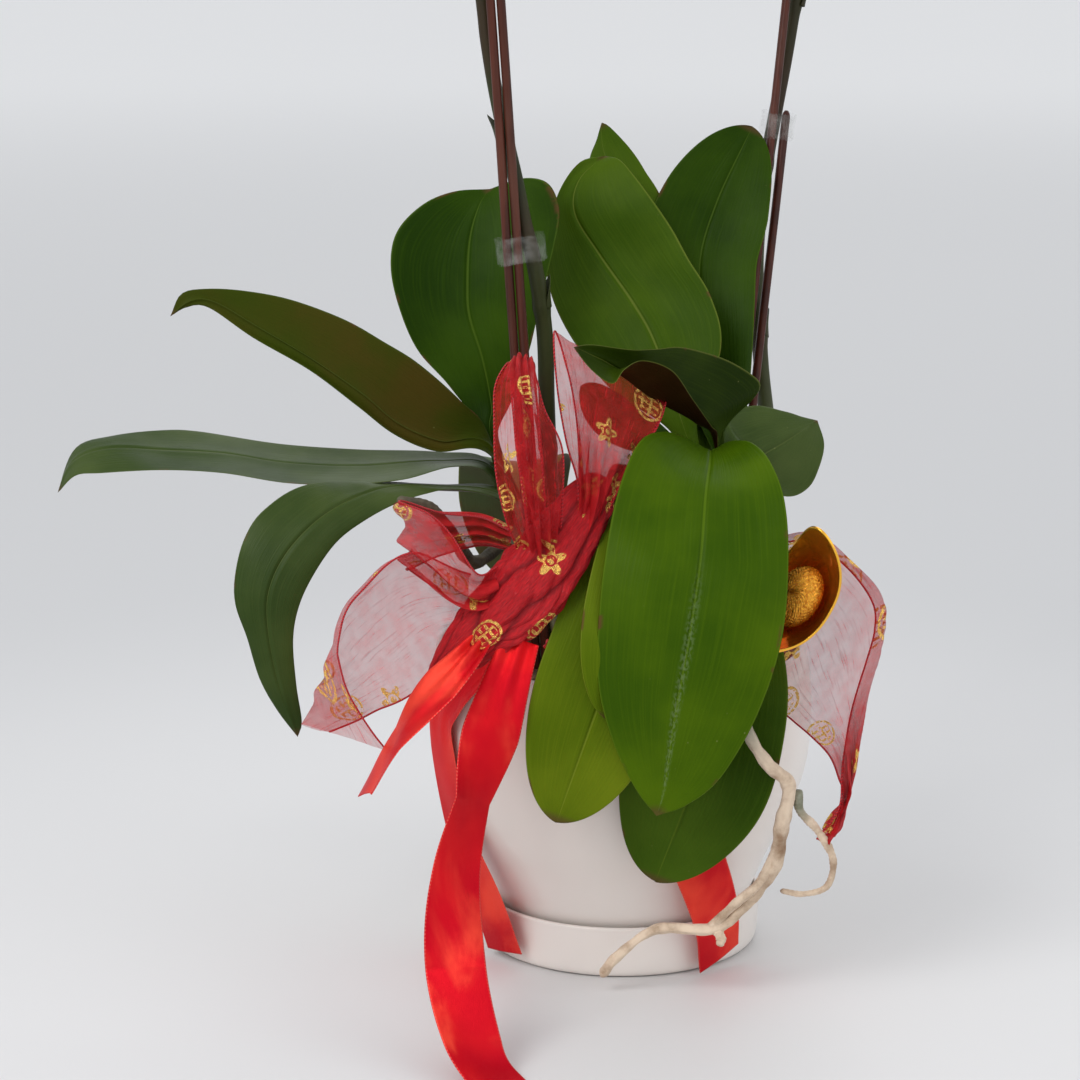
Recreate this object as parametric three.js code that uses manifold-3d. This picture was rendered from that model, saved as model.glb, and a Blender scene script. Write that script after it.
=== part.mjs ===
// Potted moth orchid: two plants in one round ceramic pot, each with a staked flower spike,
// tied with a sheer ribbon bow over a satin ribbon. Millimetres, +Z up, +X right, -Y front.
// The origin is the middle of the saucer's underside.
import * as THREE from 'three';
import { mergeVertices } from 'three/addons/utils/BufferGeometryUtils.js';
import Module from 'manifold-3d';

const wasm = await Module();
wasm.setup();

// ---------------------------------------------------------------- driving dimensions
const POT_HEIGHT = 137;          // pot on its own, foot to rim
const POT_RADIUS = 87.5;         // at the belly
const POT_WALL = 4;
const POT_LIP_INSET = 3;             // the lip is drawn in from the belly by this much
const POT_FOOT_INSET = 35.5;         // and the foot by this much
const SAUCER_WALL = 2.3;
const SAUCER_FLOOR = 3;
const SAUCER_HEIGHT = 24;
const SAUCER_RADIUS_MIN_GAP = 2.2;   // slim ring of air between pot and saucer wall
const FIT_GAP = 0.35;                // between pieces that touch
const BARK_HEADSPACE = 11;           // rim down to the potting bark
const CROWN_STEM_RADIUS = 8;
const LEAF_THICKNESS = 2.2;
const SPIKE_RADIUS = 3.8;
const RACHIS_RADIUS = 2.2;
const PEDICEL_RADIUS = 1.2;
const STAKE_RADIUS = 2;
const STAKE_GAP = 0.5;               // between two stakes that stand side by side
const ROOT_RADIUS = 3;
const BLOOM_RADIUS = 32;
const SATIN_WIDTH = 25.4;
const SATIN_THICKNESS = 1;
const ORGANZA_WIDTH = 50;
const ORGANZA_THICKNESS = 1.2;
const INGOT_LENGTH = 58;
const TAPE_THICKNESS = 0.8;

// The layout is chosen round a pot of this size, and spreads and rises with the real one.
const LAYOUT_POT_RADIUS = 87.5;
const LAYOUT_RIM = 140;

const lipRadius = POT_RADIUS - POT_LIP_INSET;
const footRadius = POT_RADIUS - POT_FOOT_INSET;
const potFoot = SAUCER_FLOOR + FIT_GAP;
const rim = potFoot + POT_HEIGHT;
const barkTop = rim - BARK_HEADSPACE;

// ---------------------------------------------------------------- materials
function finish(color, roughness, metalness = 0, extra = {}) {
  return new THREE.MeshStandardMaterial({ color, roughness, metalness, ...extra });
}

const ceramic = finish('#efeae2', 0.32);
const barkWood = finish('#6b4a33', 0.9);
const leafGreen = finish('#2f6b1c', 0.35);
const leafYoung = finish('#5f9a2a', 0.35);
const stemGreen = finish('#3f5a2a', 0.5);
const stakePaint = finish('#5a2418', 0.4);
const rootSkin = finish('#b09a78', 0.75);
const petalPink = finish('#c2408f', 0.5);
const satinRed = finish('#d0141c', 0.38);
const organzaRed = finish('#c81f2c', 0.6, 0, { transparent: true, opacity: 0.5 });
const clearTape = finish('#c9cdc6', 0.2, 0, { transparent: true, opacity: 0.6 });
const goldPlastic = finish('#e0a020', 0.22, 0.8);

// ---------------------------------------------------------------- solids
function bareGeometry(geometry) {
  geometry.deleteAttribute('normal');
  geometry.deleteAttribute('uv');
  return mergeVertices(geometry, 1e-4);
}

function solidOf(geometry) {
  const merged = bareGeometry(geometry);
  return new wasm.Manifold(new wasm.Mesh({
    numProp: 3,
    vertProperties: Float32Array.from(merged.attributes.position.array),
    triVerts: Uint32Array.from(merged.index.array),
  }));
}

function geometryOf(solid) {
  const mesh = solid.getMesh();
  const geometry = new THREE.BufferGeometry();
  geometry.setAttribute('position', new THREE.BufferAttribute(Float32Array.from(mesh.vertProperties), 3));
  geometry.setIndex(Array.from(mesh.triVerts));
  geometry.computeVertexNormals();
  return geometry;
}

function joined(geometries) {
  return geometryOf(geometries.map(solidOf).reduce((whole, piece) => whole.add(piece)));
}

function signedVolume(points, triangles) {
  let volume = 0;
  const cross = new THREE.Vector3();
  for (let i = 0; i < triangles.length; i += 3) {
    cross.crossVectors(points[triangles[i + 1]], points[triangles[i + 2]]);
    volume += points[triangles[i]].dot(cross) / 6;
  }
  return volume;
}

function closedGeometry(points, triangles) {
  const outward = signedVolume(points, triangles) > 0;
  const index = [];
  for (let i = 0; i < triangles.length; i += 3) {
    const [a, b, c] = triangles.slice(i, i + 3);
    index.push(a, outward ? b : c, outward ? c : b);
  }
  const geometry = new THREE.BufferGeometry().setFromPoints(points);
  geometry.setIndex(index);
  geometry.computeVertexNormals();
  return geometry;
}

function vector(point) {
  return new THREE.Vector3(point[0], point[1], point[2]);
}

// A point of the layout, spread with the pot's radius and lifted with its rim.
function place(point) {
  const spread = POT_RADIUS / LAYOUT_POT_RADIUS;
  const [x, y, z] = point;
  const height = z < LAYOUT_RIM ? z * rim / LAYOUT_RIM : z + rim - LAYOUT_RIM;
  return new THREE.Vector3(x * spread, y * spread, height);
}

function curveThrough(points) {
  return new THREE.CatmullRomCurve3(points, false, 'catmullrom', 0.5);
}

function tube(points, radius, steps, sides = 8) {
  const section = new THREE.Shape();
  for (let i = 0; i < sides; i += 1) {
    const angle = 2 * Math.PI * i / sides;
    const corner = [radius * Math.cos(angle), radius * Math.sin(angle)];
    if (i === 0) section.moveTo(...corner);
    else section.lineTo(...corner);
  }
  section.closePath();
  return new THREE.ExtrudeGeometry(section, { steps, extrudePath: curveThrough(points) });
}

// A value between equal steps of a list, for numbers and for directions.
function along(list, s) {
  const step = Math.min(Math.max(s, 0), 1) * (list.length - 1);
  const first = Math.min(Math.floor(step), list.length - 2);
  const part = step - first;
  const [a, b] = [list[first], list[first + 1]];
  if (typeof a === 'number') return a + (b - a) * part;
  return vector(a).lerp(vector(b), part);
}

// Tangent, side and upper normal of a strip at the share s of its length.
function frameAt(curve, up, s) {
  const tangent = curve.getTangentAt(s);
  const normal = along(up, s);
  normal.addScaledVector(tangent, -normal.dot(tangent)).normalize();
  const side = new THREE.Vector3().crossVectors(tangent, normal);
  return { tangent, side, normal };
}

// A thin closed solid: a grid of surface(s, u) given half its thickness to each side.
function slab(surface, rows, columns, thickness) {
  const points = [];
  const normals = [];
  const nudge = 1e-3;
  for (let i = 0; i < rows; i += 1) {
    for (let j = 0; j < columns; j += 1) {
      const s = i / (rows - 1);
      const u = 2 * j / (columns - 1) - 1;
      const [s0, s1] = [Math.max(s - nudge, 0), Math.min(s + nudge, 1)];
      const [u0, u1] = [Math.max(u - nudge, -1), Math.min(u + nudge, 1)];
      const lengthwise = surface(s1, u).sub(surface(s0, u));
      const crosswise = surface(s, u1).sub(surface(s, u0));
      points.push(surface(s, u));
      normals.push(new THREE.Vector3().crossVectors(crosswise, lengthwise).normalize());
    }
  }
  const count = points.length;
  const upper = points.map((p, i) => p.clone().addScaledVector(normals[i], thickness / 2));
  const lower = points.map((p, i) => p.clone().addScaledVector(normals[i], -thickness / 2));
  const triangles = [];
  for (let i = 0; i + 1 < rows; i += 1) {
    for (let j = 0; j + 1 < columns; j += 1) {
      const a = i * columns + j;
      const [b, c, d] = [a + 1, a + columns + 1, a + columns];
      triangles.push(a, b, c, a, c, d);
      triangles.push(count + a, count + c, count + b, count + a, count + d, count + c);
    }
  }
  const edge = [];
  for (let j = 0; j < columns; j += 1) edge.push(j);
  for (let i = 1; i < rows; i += 1) edge.push(i * columns + columns - 1);
  for (let j = columns - 2; j >= 0; j -= 1) edge.push((rows - 1) * columns + j);
  for (let i = rows - 2; i > 0; i -= 1) edge.push(i * columns);
  edge.forEach((a, i) => {
    const b = edge[(i + 1) % edge.length];
    triangles.push(b, a, count + a, b, count + a, count + b);
  });
  return closedGeometry([...upper, ...lower], triangles);
}

const object = new THREE.Group();

function add(name, geometry, material) {
  const mesh = new THREE.Mesh(geometry, material);
  mesh.name = name;
  object.add(mesh);
}

// ---------------------------------------------------------------- pot, saucer, bark
// Outer radius of the pot at the height z above its foot: a slim foot and a full belly.
const POT_SHAPE = [
  [0, 0], [0.10, 0.16], [0.19, 0.30], [0.31, 0.50], [0.42, 0.71], [0.55, 0.90],
  [0.66, 0.98], [0.78, 1],
];

function potRadius(height) {
  const h = Math.min(Math.max(height / POT_HEIGHT, 0), 1);
  const belly = POT_SHAPE.length - 1;
  if (h >= POT_SHAPE[belly][0]) {
    const q = (h - POT_SHAPE[belly][0]) / (1 - POT_SHAPE[belly][0]);
    return POT_RADIUS - POT_LIP_INSET * q * q;
  }
  const next = POT_SHAPE.findIndex((step) => step[0] > h);
  const [a, b] = [POT_SHAPE[next - 1], POT_SHAPE[next]];
  const share = a[1] + (b[1] - a[1]) * (h - a[0]) / (b[0] - a[0]);
  return footRadius + POT_FOOT_INSET * share;
}

function pot() {
  const heights = [...POT_SHAPE.map((step) => step[0] * POT_HEIGHT), POT_HEIGHT - 1.5];
  const outer = heights.map((h) => [potRadius(h), h]);
  const inner = heights.filter((h) => h > POT_WALL * 2).map((h) => [potRadius(h) - POT_WALL, h]).reverse();
  const profile = [
    [0, 0],
    ...outer,
    [lipRadius - POT_WALL / 2, POT_HEIGHT],
    ...inner,
    [footRadius - POT_WALL, POT_WALL + 1],
    [0, POT_WALL],
  ];
  const points = profile.map(([r, h]) => new THREE.Vector2(r, h + potFoot));
  return new THREE.LatheGeometry(points, 32);
}

const saucerInner = potRadius(SAUCER_HEIGHT - potFoot) + SAUCER_RADIUS_MIN_GAP;
const saucerRadius = saucerInner + SAUCER_WALL;

function saucer() {
  const profile = [
    [0, 0],
    [saucerRadius - 4.5, 0],
    [saucerRadius - 2, 1.2],
    [saucerRadius - 1, 4.5],
    [saucerRadius, SAUCER_HEIGHT - 1],
    [saucerRadius - SAUCER_WALL / 2, SAUCER_HEIGHT],
    [saucerInner, SAUCER_HEIGHT - 1],
    [saucerInner - 1, SAUCER_FLOOR + 4],
    [saucerInner - 4, SAUCER_FLOOR],
    [0, SAUCER_FLOOR],
  ];
  return new THREE.LatheGeometry(profile.map(([r, h]) => new THREE.Vector2(r, h)), 32);
}

// Potting bark: fills the pot, with a rough top that is level round each crown.
function bark() {
  const gap = FIT_GAP + 0.3;
  const bottom = potFoot + POT_WALL + 2;
  const sides = [0.12, 0.3, 0.55, 0.78].map((share) => share * POT_HEIGHT);
  const wall = (h) => potRadius(h) - POT_WALL - gap;
  const edge = barkTop - 3;
  const profile = [
    [0, bottom],
    [wall(bottom - potFoot) - 6, bottom],
    ...sides.map((h) => [wall(h), h + potFoot]),
    [wall(edge - potFoot) - 0.4, edge],
    [wall(edge - potFoot) * 0.9, barkTop],
    [wall(edge - potFoot) * 0.62, barkTop],
    [wall(edge - potFoot) * 0.3, barkTop],
    [0, barkTop],
  ];
  const lathe = new THREE.LatheGeometry(profile.map(([r, h]) => new THREE.Vector2(r, h)), 24);
  const position = lathe.attributes.position;
  for (let i = 0; i < position.count; i += 1) {
    const [x, y, z] = [position.getX(i), position.getY(i), position.getZ(i)];
    const inside = y > edge + 1 ? 1 : 0;
    const lump = Math.sin(x * 0.31) * Math.cos(z * 0.27) + Math.sin(x * 0.13 + z * 0.19);
    position.setY(i, y - inside * (1.2 + 0.6 * lump));
  }
  return lathe;
}

function upright(lathe) {
  return lathe.rotateX(Math.PI / 2);
}

add('pot', upright(pot()), ceramic);
add('saucer', upright(saucer()), ceramic);
add('potting_bark', upright(bark()), barkWood);

// ---------------------------------------------------------------- leaves
// Each leaf: midrib through its points, the way its upper side faces, half-width, how far the
// halves fold up from the midrib at base, middle and tip, and where it is widest.
const LEFT_CROWN = [-44, 2];
const RIGHT_CROWN = [46, -6];
const LEAVES = {
  leaf_left_upper: {
    crown: LEFT_CROWN,
    spine: [
      [-55, 5, 219], [-82, 2, 241], [-119, -4, 268], [-156, -10, 289], [-184, -14, 297],
      [-199, -18, 291],
    ],
    up: [[0.5, 0.4, 0.75], [0.45, 0.6, 0.65], [0.25, 0.4, 0.85], [-0.3, 0.1, 1]],
    half: 29, fold: [26, 8, 6, 4], widest: 0.45,
  },
  leaf_left_middle: {
    crown: LEFT_CROWN,
    spine: [
      [-56, 3, 209], [-100, -4, 216], [-152, -10, 222], [-204, -16, 227], [-236, -20, 227],
      [-249, -22, 217],
    ],
    up: [[0, 0, 1], [0, 0, 1], [0, -0.05, 1], [-0.5, -0.2, 1]],
    half: 28, fold: [30, 10, 8, 4], widest: 0.5,
  },
  leaf_left_lower: {
    crown: LEFT_CROWN,
    spine: [
      [-54, -9, 199], [-80, -32, 209], [-105, -50, 210], [-130, -62, 198], [-145, -68, 176],
      [-150, -70, 150], [-143, -70, 111],
    ],
    up: [[0, -0.1, 1], [-0.2, -0.2, 1], [-0.6, -0.5, 0.8], [-0.75, -0.66, 0.3], [-0.7, -0.7, 0]],
    half: 29, fold: [26, 12, 12, 8], widest: 0.55,
  },
  leaf_back_left: {
    crown: LEFT_CROWN,
    spine: [[-48, 16, 222], [-58, 27, 250], [-66, 38, 285], [-64, 48, 318], [-55, 64, 342]],
    up: [[0, -0.8, 0.6], [0.05, -0.9, 0.4], [0, -0.8, 0.6]],
    half: 41, fold: [34, 28, 24], widest: 0.45,
  },
  leaf_back_center: {
    crown: RIGHT_CROWN,
    spine: [[38, 7, 226], [24, 20, 258], [6, 35, 291], [-10, 47, 320], [-25, 60, 342]],
    up: [[0.2, -0.8, 0.6], [0.15, -0.9, 0.4], [0, -0.9, 0.4]],
    half: 33, fold: [34, 12, 8], widest: 0.42,
  },
  leaf_back_tip: {
    crown: RIGHT_CROWN,
    spine: [[34, 24, 232], [20, 58, 280], [4, 80, 330], [-9, 88, 368]],
    up: [[0, -0.8, 0.6], [0.1, -0.9, 0.4], [0, -0.9, 0.5]],
    half: 24, fold: [30, 12, 10], widest: 0.5,
  },
  leaf_back_right: {
    crown: RIGHT_CROWN,
    spine: [[48, 14, 226], [41, 38, 268], [37, 56, 303], [45, 67, 332], [62, 76, 367]],
    up: [[0, -0.8, 0.6], [-0.1, -0.95, 0.4], [0, -0.9, 0.5]],
    half: 27, fold: [30, 10, 8], widest: 0.6,
  },
  leaf_curled: {
    crown: RIGHT_CROWN,
    spine: [
      [44, -17, 234], [42, -30, 249], [34, -48, 262], [17, -68, 270], [-6, -84, 276],
      [-24, -92, 276],
    ],
    up: [[0.8, 0, 0.3], [0.75, -0.1, 0.6], [0.2, -0.2, 1], [0, -0.4, 1], [-0.2, -0.7, 0.8]],
    half: 26, fold: [44, 40, 30, 14], widest: 0.45,
  },
  leaf_front: {
    crown: RIGHT_CROWN,
    spine: [
      [46, -20, 226], [43, -48, 237], [37, -84, 235], [30, -115, 206], [22, -129, 156],
      [13, -127, 92],
    ],
    up: [[0, 0, 1], [0, -0.1, 1], [0, -0.6, 0.8], [0, -1, 0.3], [0, -1, 0]],
    half: 40, fold: [16, 12, 8, 6], widest: 0.5,
  },
  leaf_front_yellow: {
    crown: RIGHT_CROWN,
    spine: [[43, -19, 219], [30, -58, 224], [12, -98, 205], [-1, -119, 168], [-8, -121, 136]],
    up: [[0, 0, 1], [0, -0.2, 1], [0, -0.9, 0.6], [0, -1, 0]],
    half: 23, fold: [12, 8, 6, 6], widest: 0.55,
  },
  leaf_front_left: {
    crown: RIGHT_CROWN,
    spine: [[39, -19, 211], [25, -57, 212], [9, -95, 192], [-9, -115, 150], [-30, -117, 90]],
    up: [[0, 0, 1], [0, -0.2, 1], [0, -0.9, 0.6], [-0.1, -1, 0]],
    half: 30, fold: [12, 8, 6, 6], widest: 0.6,
  },
  leaf_front_lower: {
    crown: RIGHT_CROWN,
    spine: [[47, -20, 195], [42, -50, 187], [39, -82, 157], [32, -97, 112], [13, -94, 56]],
    up: [[0, 0, 1], [0.3, -0.2, 1], [0, -0.9, 0.5], [0, -1, 0]],
    half: 33, fold: [12, 8, 4, 4], widest: 0.6,
  },
  leaf_right: {
    crown: RIGHT_CROWN,
    spine: [[61, -10, 213], [71, 0, 220], [81, 10, 220], [87, 15, 211], [86, 15, 200]],
    up: [[0, 0, 1], [0, -0.1, 1], [0.5, -0.3, 0.8], [1, -0.3, 0.1]],
    half: 26, fold: [24, 10, 8, 8], widest: 0.5,
  },
  leaf_hidden_center: {
    crown: RIGHT_CROWN,
    spine: [[34, -8, 222], [16, -16, 233], [-5, -23, 246], [-19, -26, 262]],
    up: [[-0.2, -0.3, 1], [0.2, -0.5, 0.8], [0.2, -0.7, 0.6]],
    half: 15, fold: [20, 10, 6], widest: 0.5,
  },
  leaf_rear_left: {
    crown: LEFT_CROWN,
    spine: [[-43, 19, 205], [-46, 52, 211], [-49, 84, 202], [-51, 108, 174], [-51, 116, 140]],
    up: [[0, 0, 1], [0, 0.2, 1], [0, 0.8, 0.6], [0, 1, 0.1]],
    half: 27, fold: [24, 10, 8, 6], widest: 0.5,
  },
  leaf_rear_right: {
    crown: RIGHT_CROWN,
    spine: [[38, 12, 203], [30, 46, 207], [24, 82, 198], [20, 108, 170], [18, 118, 132]],
    up: [[0, 0, 1], [0, 0.2, 1], [0, 0.8, 0.6], [0, 1, 0.1]],
    half: 28, fold: [24, 10, 8, 6], widest: 0.5,
  },
};
const LEAF_BASE_HALF = 8;
const LEAF_TIP_HALF = 1.5;

function leafHalfWidth(leaf, s) {
  if (s <= leaf.widest) {
    const rise = Math.sin(0.5 * Math.PI * s / leaf.widest) ** 0.95;
    return LEAF_BASE_HALF + (leaf.half - LEAF_BASE_HALF) * rise;
  }
  const q = (s - leaf.widest) / (1 - leaf.widest);
  return Math.max(leaf.half * (1 - q ** 2.6) ** 0.6, LEAF_TIP_HALF);
}

function leafSurface(leaf) {
  const curve = curveThrough(leaf.spine.map(place));
  return (s, u) => {
    const { side, normal } = frameAt(curve, leaf.up, s);
    const angle = along(leaf.fold, s) * Math.PI / 180;
    const reach = leafHalfWidth(leaf, s) * u;
    return curve.getPointAt(s)
      .addScaledVector(side, reach * Math.cos(angle))
      .addScaledVector(normal, Math.abs(reach) * Math.sin(angle));
  };
}

const YOUNG_LEAVES = ['leaf_front_yellow', 'leaf_front_left', 'leaf_front_lower'];
for (const [name, leaf] of Object.entries(LEAVES)) {
  const material = YOUNG_LEAVES.includes(name) ? leafYoung : leafGreen;
  add(name, slab(leafSurface(leaf), 10, 5, LEAF_THICKNESS), material);
}

// ---------------------------------------------------------------- crowns
// A short stem out of the bark, with a sheath running up to each leaf's foot.
const SHEATH_RADIUS = 2.6;
const SHEATH_DROP = 16;
const CROWN_TOP = 206;

function crownStem([x, y]) {
  const foot = place([x, y, 0]);
  const top = place([x, y, CROWN_TOP]);
  const base = barkTop + FIT_GAP + 0.2;
  const profile = [
    [0, base], [CROWN_STEM_RADIUS * 1.25, base], [CROWN_STEM_RADIUS * 1.1, base + 20],
    [CROWN_STEM_RADIUS, top.z - 25], [CROWN_STEM_RADIUS * 0.8, top.z - 4], [0, top.z],
  ];
  const stem = upright(new THREE.LatheGeometry(profile.map(([r, h]) => new THREE.Vector2(r, h)), 14));
  stem.translate(foot.x, foot.y, 0);
  return stem;
}

function sheath(leaf) {
  const [x, y] = leaf.crown;
  const curve = curveThrough(leaf.spine.map(place));
  const foot = curve.getPoint(0);
  const end = foot.clone().addScaledVector(curve.getTangent(0), -LEAF_THICKNESS / 2 - FIT_GAP - 0.9);
  const root = place([x, y, 0]);
  root.z = Math.min(end.z - SHEATH_DROP, place([x, y, CROWN_TOP]).z - SHEATH_DROP);
  const bend = root.clone().lerp(end, 0.55);
  bend.z += 2;
  return tube([root, bend, end], SHEATH_RADIUS, 4, 6);
}

for (const [name, crown] of [['crown_left', LEFT_CROWN], ['crown_right', RIGHT_CROWN]]) {
  const sheaths = Object.values(LEAVES).filter((leaf) => leaf.crown === crown).map(sheath);
  add(name, joined([crownStem(crown), ...sheaths]), stemGreen);
}

// ---------------------------------------------------------------- flower spikes
// Each spike: a stout stem beside its stakes, then a slim arching end that carries the blooms.
const SPIKES = {
  left: {
    stem: [
      [-31, 6, 190], [-33, 3, 225], [-34, 0, 251], [-35, -4, 283], [-39.5, -11, 314], [-44, -9, 332],
      [-48, -8.2, 352], [-55.5, -8, 385], [-60, -8, 411], [-62.5, -8, 432], [-72, -9, 500],
    ],
    arch: [
      [-71, -9, 494], [-86, -12, 546], [-120, -17, 590], [-166, -22, 606], [-210, -28, 594],
      [-238, -32, 566],
    ],
    facing: [-0.25, -1, 0.1],
  },
  right: {
    stem: [
      [53, 12, 190], [66, 36, 206], [70, 58, 225], [68, 80, 255], [66, 93, 300], [69, 94, 340],
      [73, 91, 368], [79, 95, 400], [85, 99, 436], [95, 92, 500],
    ],
    arch: [
      [94, 92, 494], [109, 78, 546], [140, 56, 590], [180, 34, 604], [218, 18, 592],
      [242, 8, 566],
    ],
    facing: [0.2, -1, 0.1],
  },
};
const BLOOM_SHARES = [0.06, 0.19, 0.32, 0.45, 0.58, 0.71, 0.84];
const BUD_SHARES = [0.92, 0.995];
const PEDICEL_LENGTH = 28;
const BUD_RADIUS = 6;

// Places along the arch: the point, the way its flower leans, and the flower's middle.
function flowerPlaces(spike, shares, length) {
  const curve = curveThrough(spike.arch.map(place));
  return shares.map((share, i) => {
    const { tangent } = frameAt(curve, [[0, 0, 1], [0, 0, 1]], share);
    const facing = vector(spike.facing).normalize();
    const across = new THREE.Vector3().crossVectors(tangent, facing).normalize();
    const forward = i % 2 ? 1.15 : 0.65;
    const lean = facing.clone().multiplyScalar(forward).addScaledVector(across, i % 2 ? 0.85 : -0.85);
    const start = curve.getPointAt(share);
    return { start, lean: lean.clone().normalize(), middle: start.clone().addScaledVector(lean, length) };
  });
}

function spikeGeometry(spike) {
  const stem = tube(spike.stem.map(place), SPIKE_RADIUS, 26, 7);
  const arch = tube(spike.arch.map(place), RACHIS_RADIUS, 18, 6);
  const stalks = flowerPlaces(spike, BLOOM_SHARES, PEDICEL_LENGTH).map(({ start, lean, middle }) => {
    const end = middle.clone().addScaledVector(lean, -BLOOM_DEPTH / 2 - FIT_GAP);
    return tube([start, start.clone().lerp(end, 0.5), end], PEDICEL_RADIUS, 2, 5);
  });
  const buds = flowerPlaces(spike, BUD_SHARES, PEDICEL_LENGTH / 2).flatMap(({ start, middle }) => {
    const bud = new THREE.SphereGeometry(BUD_RADIUS, 8, 6).translate(middle.x, middle.y, middle.z);
    return [tube([start, start.clone().lerp(middle, 0.5), middle], PEDICEL_RADIUS, 2, 5), bud];
  });
  return joined([stem, arch, ...stalks, ...buds]);
}

// ---------------------------------------------------------------- blooms
// A flat flower of two broad petals and three sepals, cupped a little, with a lip in front.
const BLOOM_THICKNESS = 1.6;
const BLOOM_DEPTH = 9;
const BLOOM_LOBES = [
  { at: 0, reach: 1, spread: 42 }, { at: 90, reach: 0.92, spread: 26 }, { at: 180, reach: 1, spread: 42 },
  { at: 234, reach: 0.9, spread: 25 }, { at: 306, reach: 0.9, spread: 25 },
];

function bloomOutline(angle) {
  const degrees = angle * 180 / Math.PI;
  const reaches = BLOOM_LOBES.map(({ at, reach, spread }) => {
    const away = Math.abs((degrees - at + 540) % 360 - 180);
    return away < spread ? reach * Math.cos(away / spread * Math.PI / 2) ** 0.45 : 0;
  });
  return BLOOM_RADIUS * Math.max(0.42, ...reaches);
}

// A thin closed dish: rings of surface(share, angle) round a middle point.
function dish(surface, rings, sectors, thickness) {
  const points = [surface(0, 0)];
  for (let i = 1; i <= rings; i += 1) {
    for (let j = 0; j < sectors; j += 1) points.push(surface(i / rings, 2 * Math.PI * j / sectors));
  }
  const count = points.length;
  const back = points.map((p) => new THREE.Vector3(p.x, p.y, p.z - thickness));
  const at = (i, j) => 1 + (i - 1) * sectors + j % sectors;
  const triangles = [];
  for (let j = 0; j < sectors; j += 1) {
    triangles.push(0, at(1, j), at(1, j + 1), count, count + at(1, j + 1), count + at(1, j));
    for (let i = 1; i < rings; i += 1) {
      const [a, b, c, d] = [at(i, j), at(i + 1, j), at(i + 1, j + 1), at(i, j + 1)];
      triangles.push(a, b, c, a, c, d);
      triangles.push(count + a, count + c, count + b, count + a, count + d, count + c);
    }
    const [m, n] = [at(rings, j), at(rings, j + 1)];
    triangles.push(m, count + m, count + n, m, count + n, n);
  }
  return closedGeometry([...points, ...back], triangles);
}

function bloom() {
  return dish((share, angle) => {
    const radius = bloomOutline(angle) * share;
    const cup = 5 * share * share;
    return new THREE.Vector3(radius * Math.cos(angle), radius * Math.sin(angle), cup);
  }, 2, 20, BLOOM_THICKNESS);
}

// Turns a geometry so that its +Z looks along the direction and its +Y stays as high as it can.
function faced(geometry, direction, position) {
  const z = direction.clone().normalize();
  const x = new THREE.Vector3().crossVectors(new THREE.Vector3(0, 0, 1), z).normalize();
  const y = new THREE.Vector3().crossVectors(z, x);
  geometry.applyMatrix4(new THREE.Matrix4().makeBasis(x, y, z));
  return geometry.translate(position.x, position.y, position.z);
}

for (const [sideName, spike] of Object.entries(SPIKES)) {
  add(`spike_${sideName}`, spikeGeometry(spike), stemGreen);
  flowerPlaces(spike, BLOOM_SHARES, PEDICEL_LENGTH).forEach(({ lean, middle }, i) => {
    const look = lean.clone().add(vector(spike.facing));
    add(`bloom_${sideName}_${i + 1}`, faced(bloom(), look, middle), petalPink);
  });
}

// ---------------------------------------------------------------- stakes and tape
const stakeSpacing = 2 * STAKE_RADIUS + STAKE_GAP;
const STAKES = {
  stake_left_outer: [[-34 - stakeSpacing, -15, 0], [-54.5 - stakeSpacing, -15, 436]],
  stake_left_inner: [[-34, -15, 0], [-54.5, -15, 436]],
  stake_right_tall: [[45, 30, 0], [79, 92, 436]],
  stake_right_short: [[50, 30, 0], [78.2, 82, 374]],
};

function stake([foot, top]) {
  const base = place([foot[0], foot[1], LAYOUT_RIM]);
  base.z = barkTop + FIT_GAP + STAKE_RADIUS * 0.4;
  return tube([base, place(top)], STAKE_RADIUS, 1, 8);
}

for (const [name, ends] of Object.entries(STAKES)) add(name, stake(ends), stakePaint);

// A turn of tape round a stem and its stakes: a band with a wall, standing along the stem. Its
// reach across and its depth are measured past the stakes' own radius.
const TAPES = {
  tape_left: { middle: [-45.5, -12.6, 321], lean: [-0.15, 0, 1], across: 8.6, deep: 5.6, height: 12 },
  tape_right: { middle: [74.4, 85, 367], lean: [0.13, 0, 1], across: 5.6, deep: 10, height: 12 },
};

function tape({ middle, lean, across, deep, height }) {
  const [halfAcross, halfDeep] = [across + STAKE_RADIUS, deep + STAKE_RADIUS];
  const band = new THREE.Shape();
  band.absellipse(0, 0, halfAcross + TAPE_THICKNESS, halfDeep + TAPE_THICKNESS, 0, 2 * Math.PI, false, 0);
  const hole = new THREE.Path();
  hole.absellipse(0, 0, halfAcross, halfDeep, 0, 2 * Math.PI, true, 0);
  band.holes.push(hole);
  const ring = new THREE.ExtrudeGeometry(band, { depth: height, bevelEnabled: false, curveSegments: 16 });
  ring.translate(0, 0, -height / 2);
  const z = vector(lean).normalize();
  const y = new THREE.Vector3(0, 1, 0).addScaledVector(z, -z.y).normalize();
  const x = new THREE.Vector3().crossVectors(y, z);
  ring.applyMatrix4(new THREE.Matrix4().makeBasis(x, y, z));
  const at = place(middle);
  return ring.translate(at.x, at.y, at.z);
}

for (const [name, band] of Object.entries(TAPES)) add(name, tape(band), clearTape);

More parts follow.
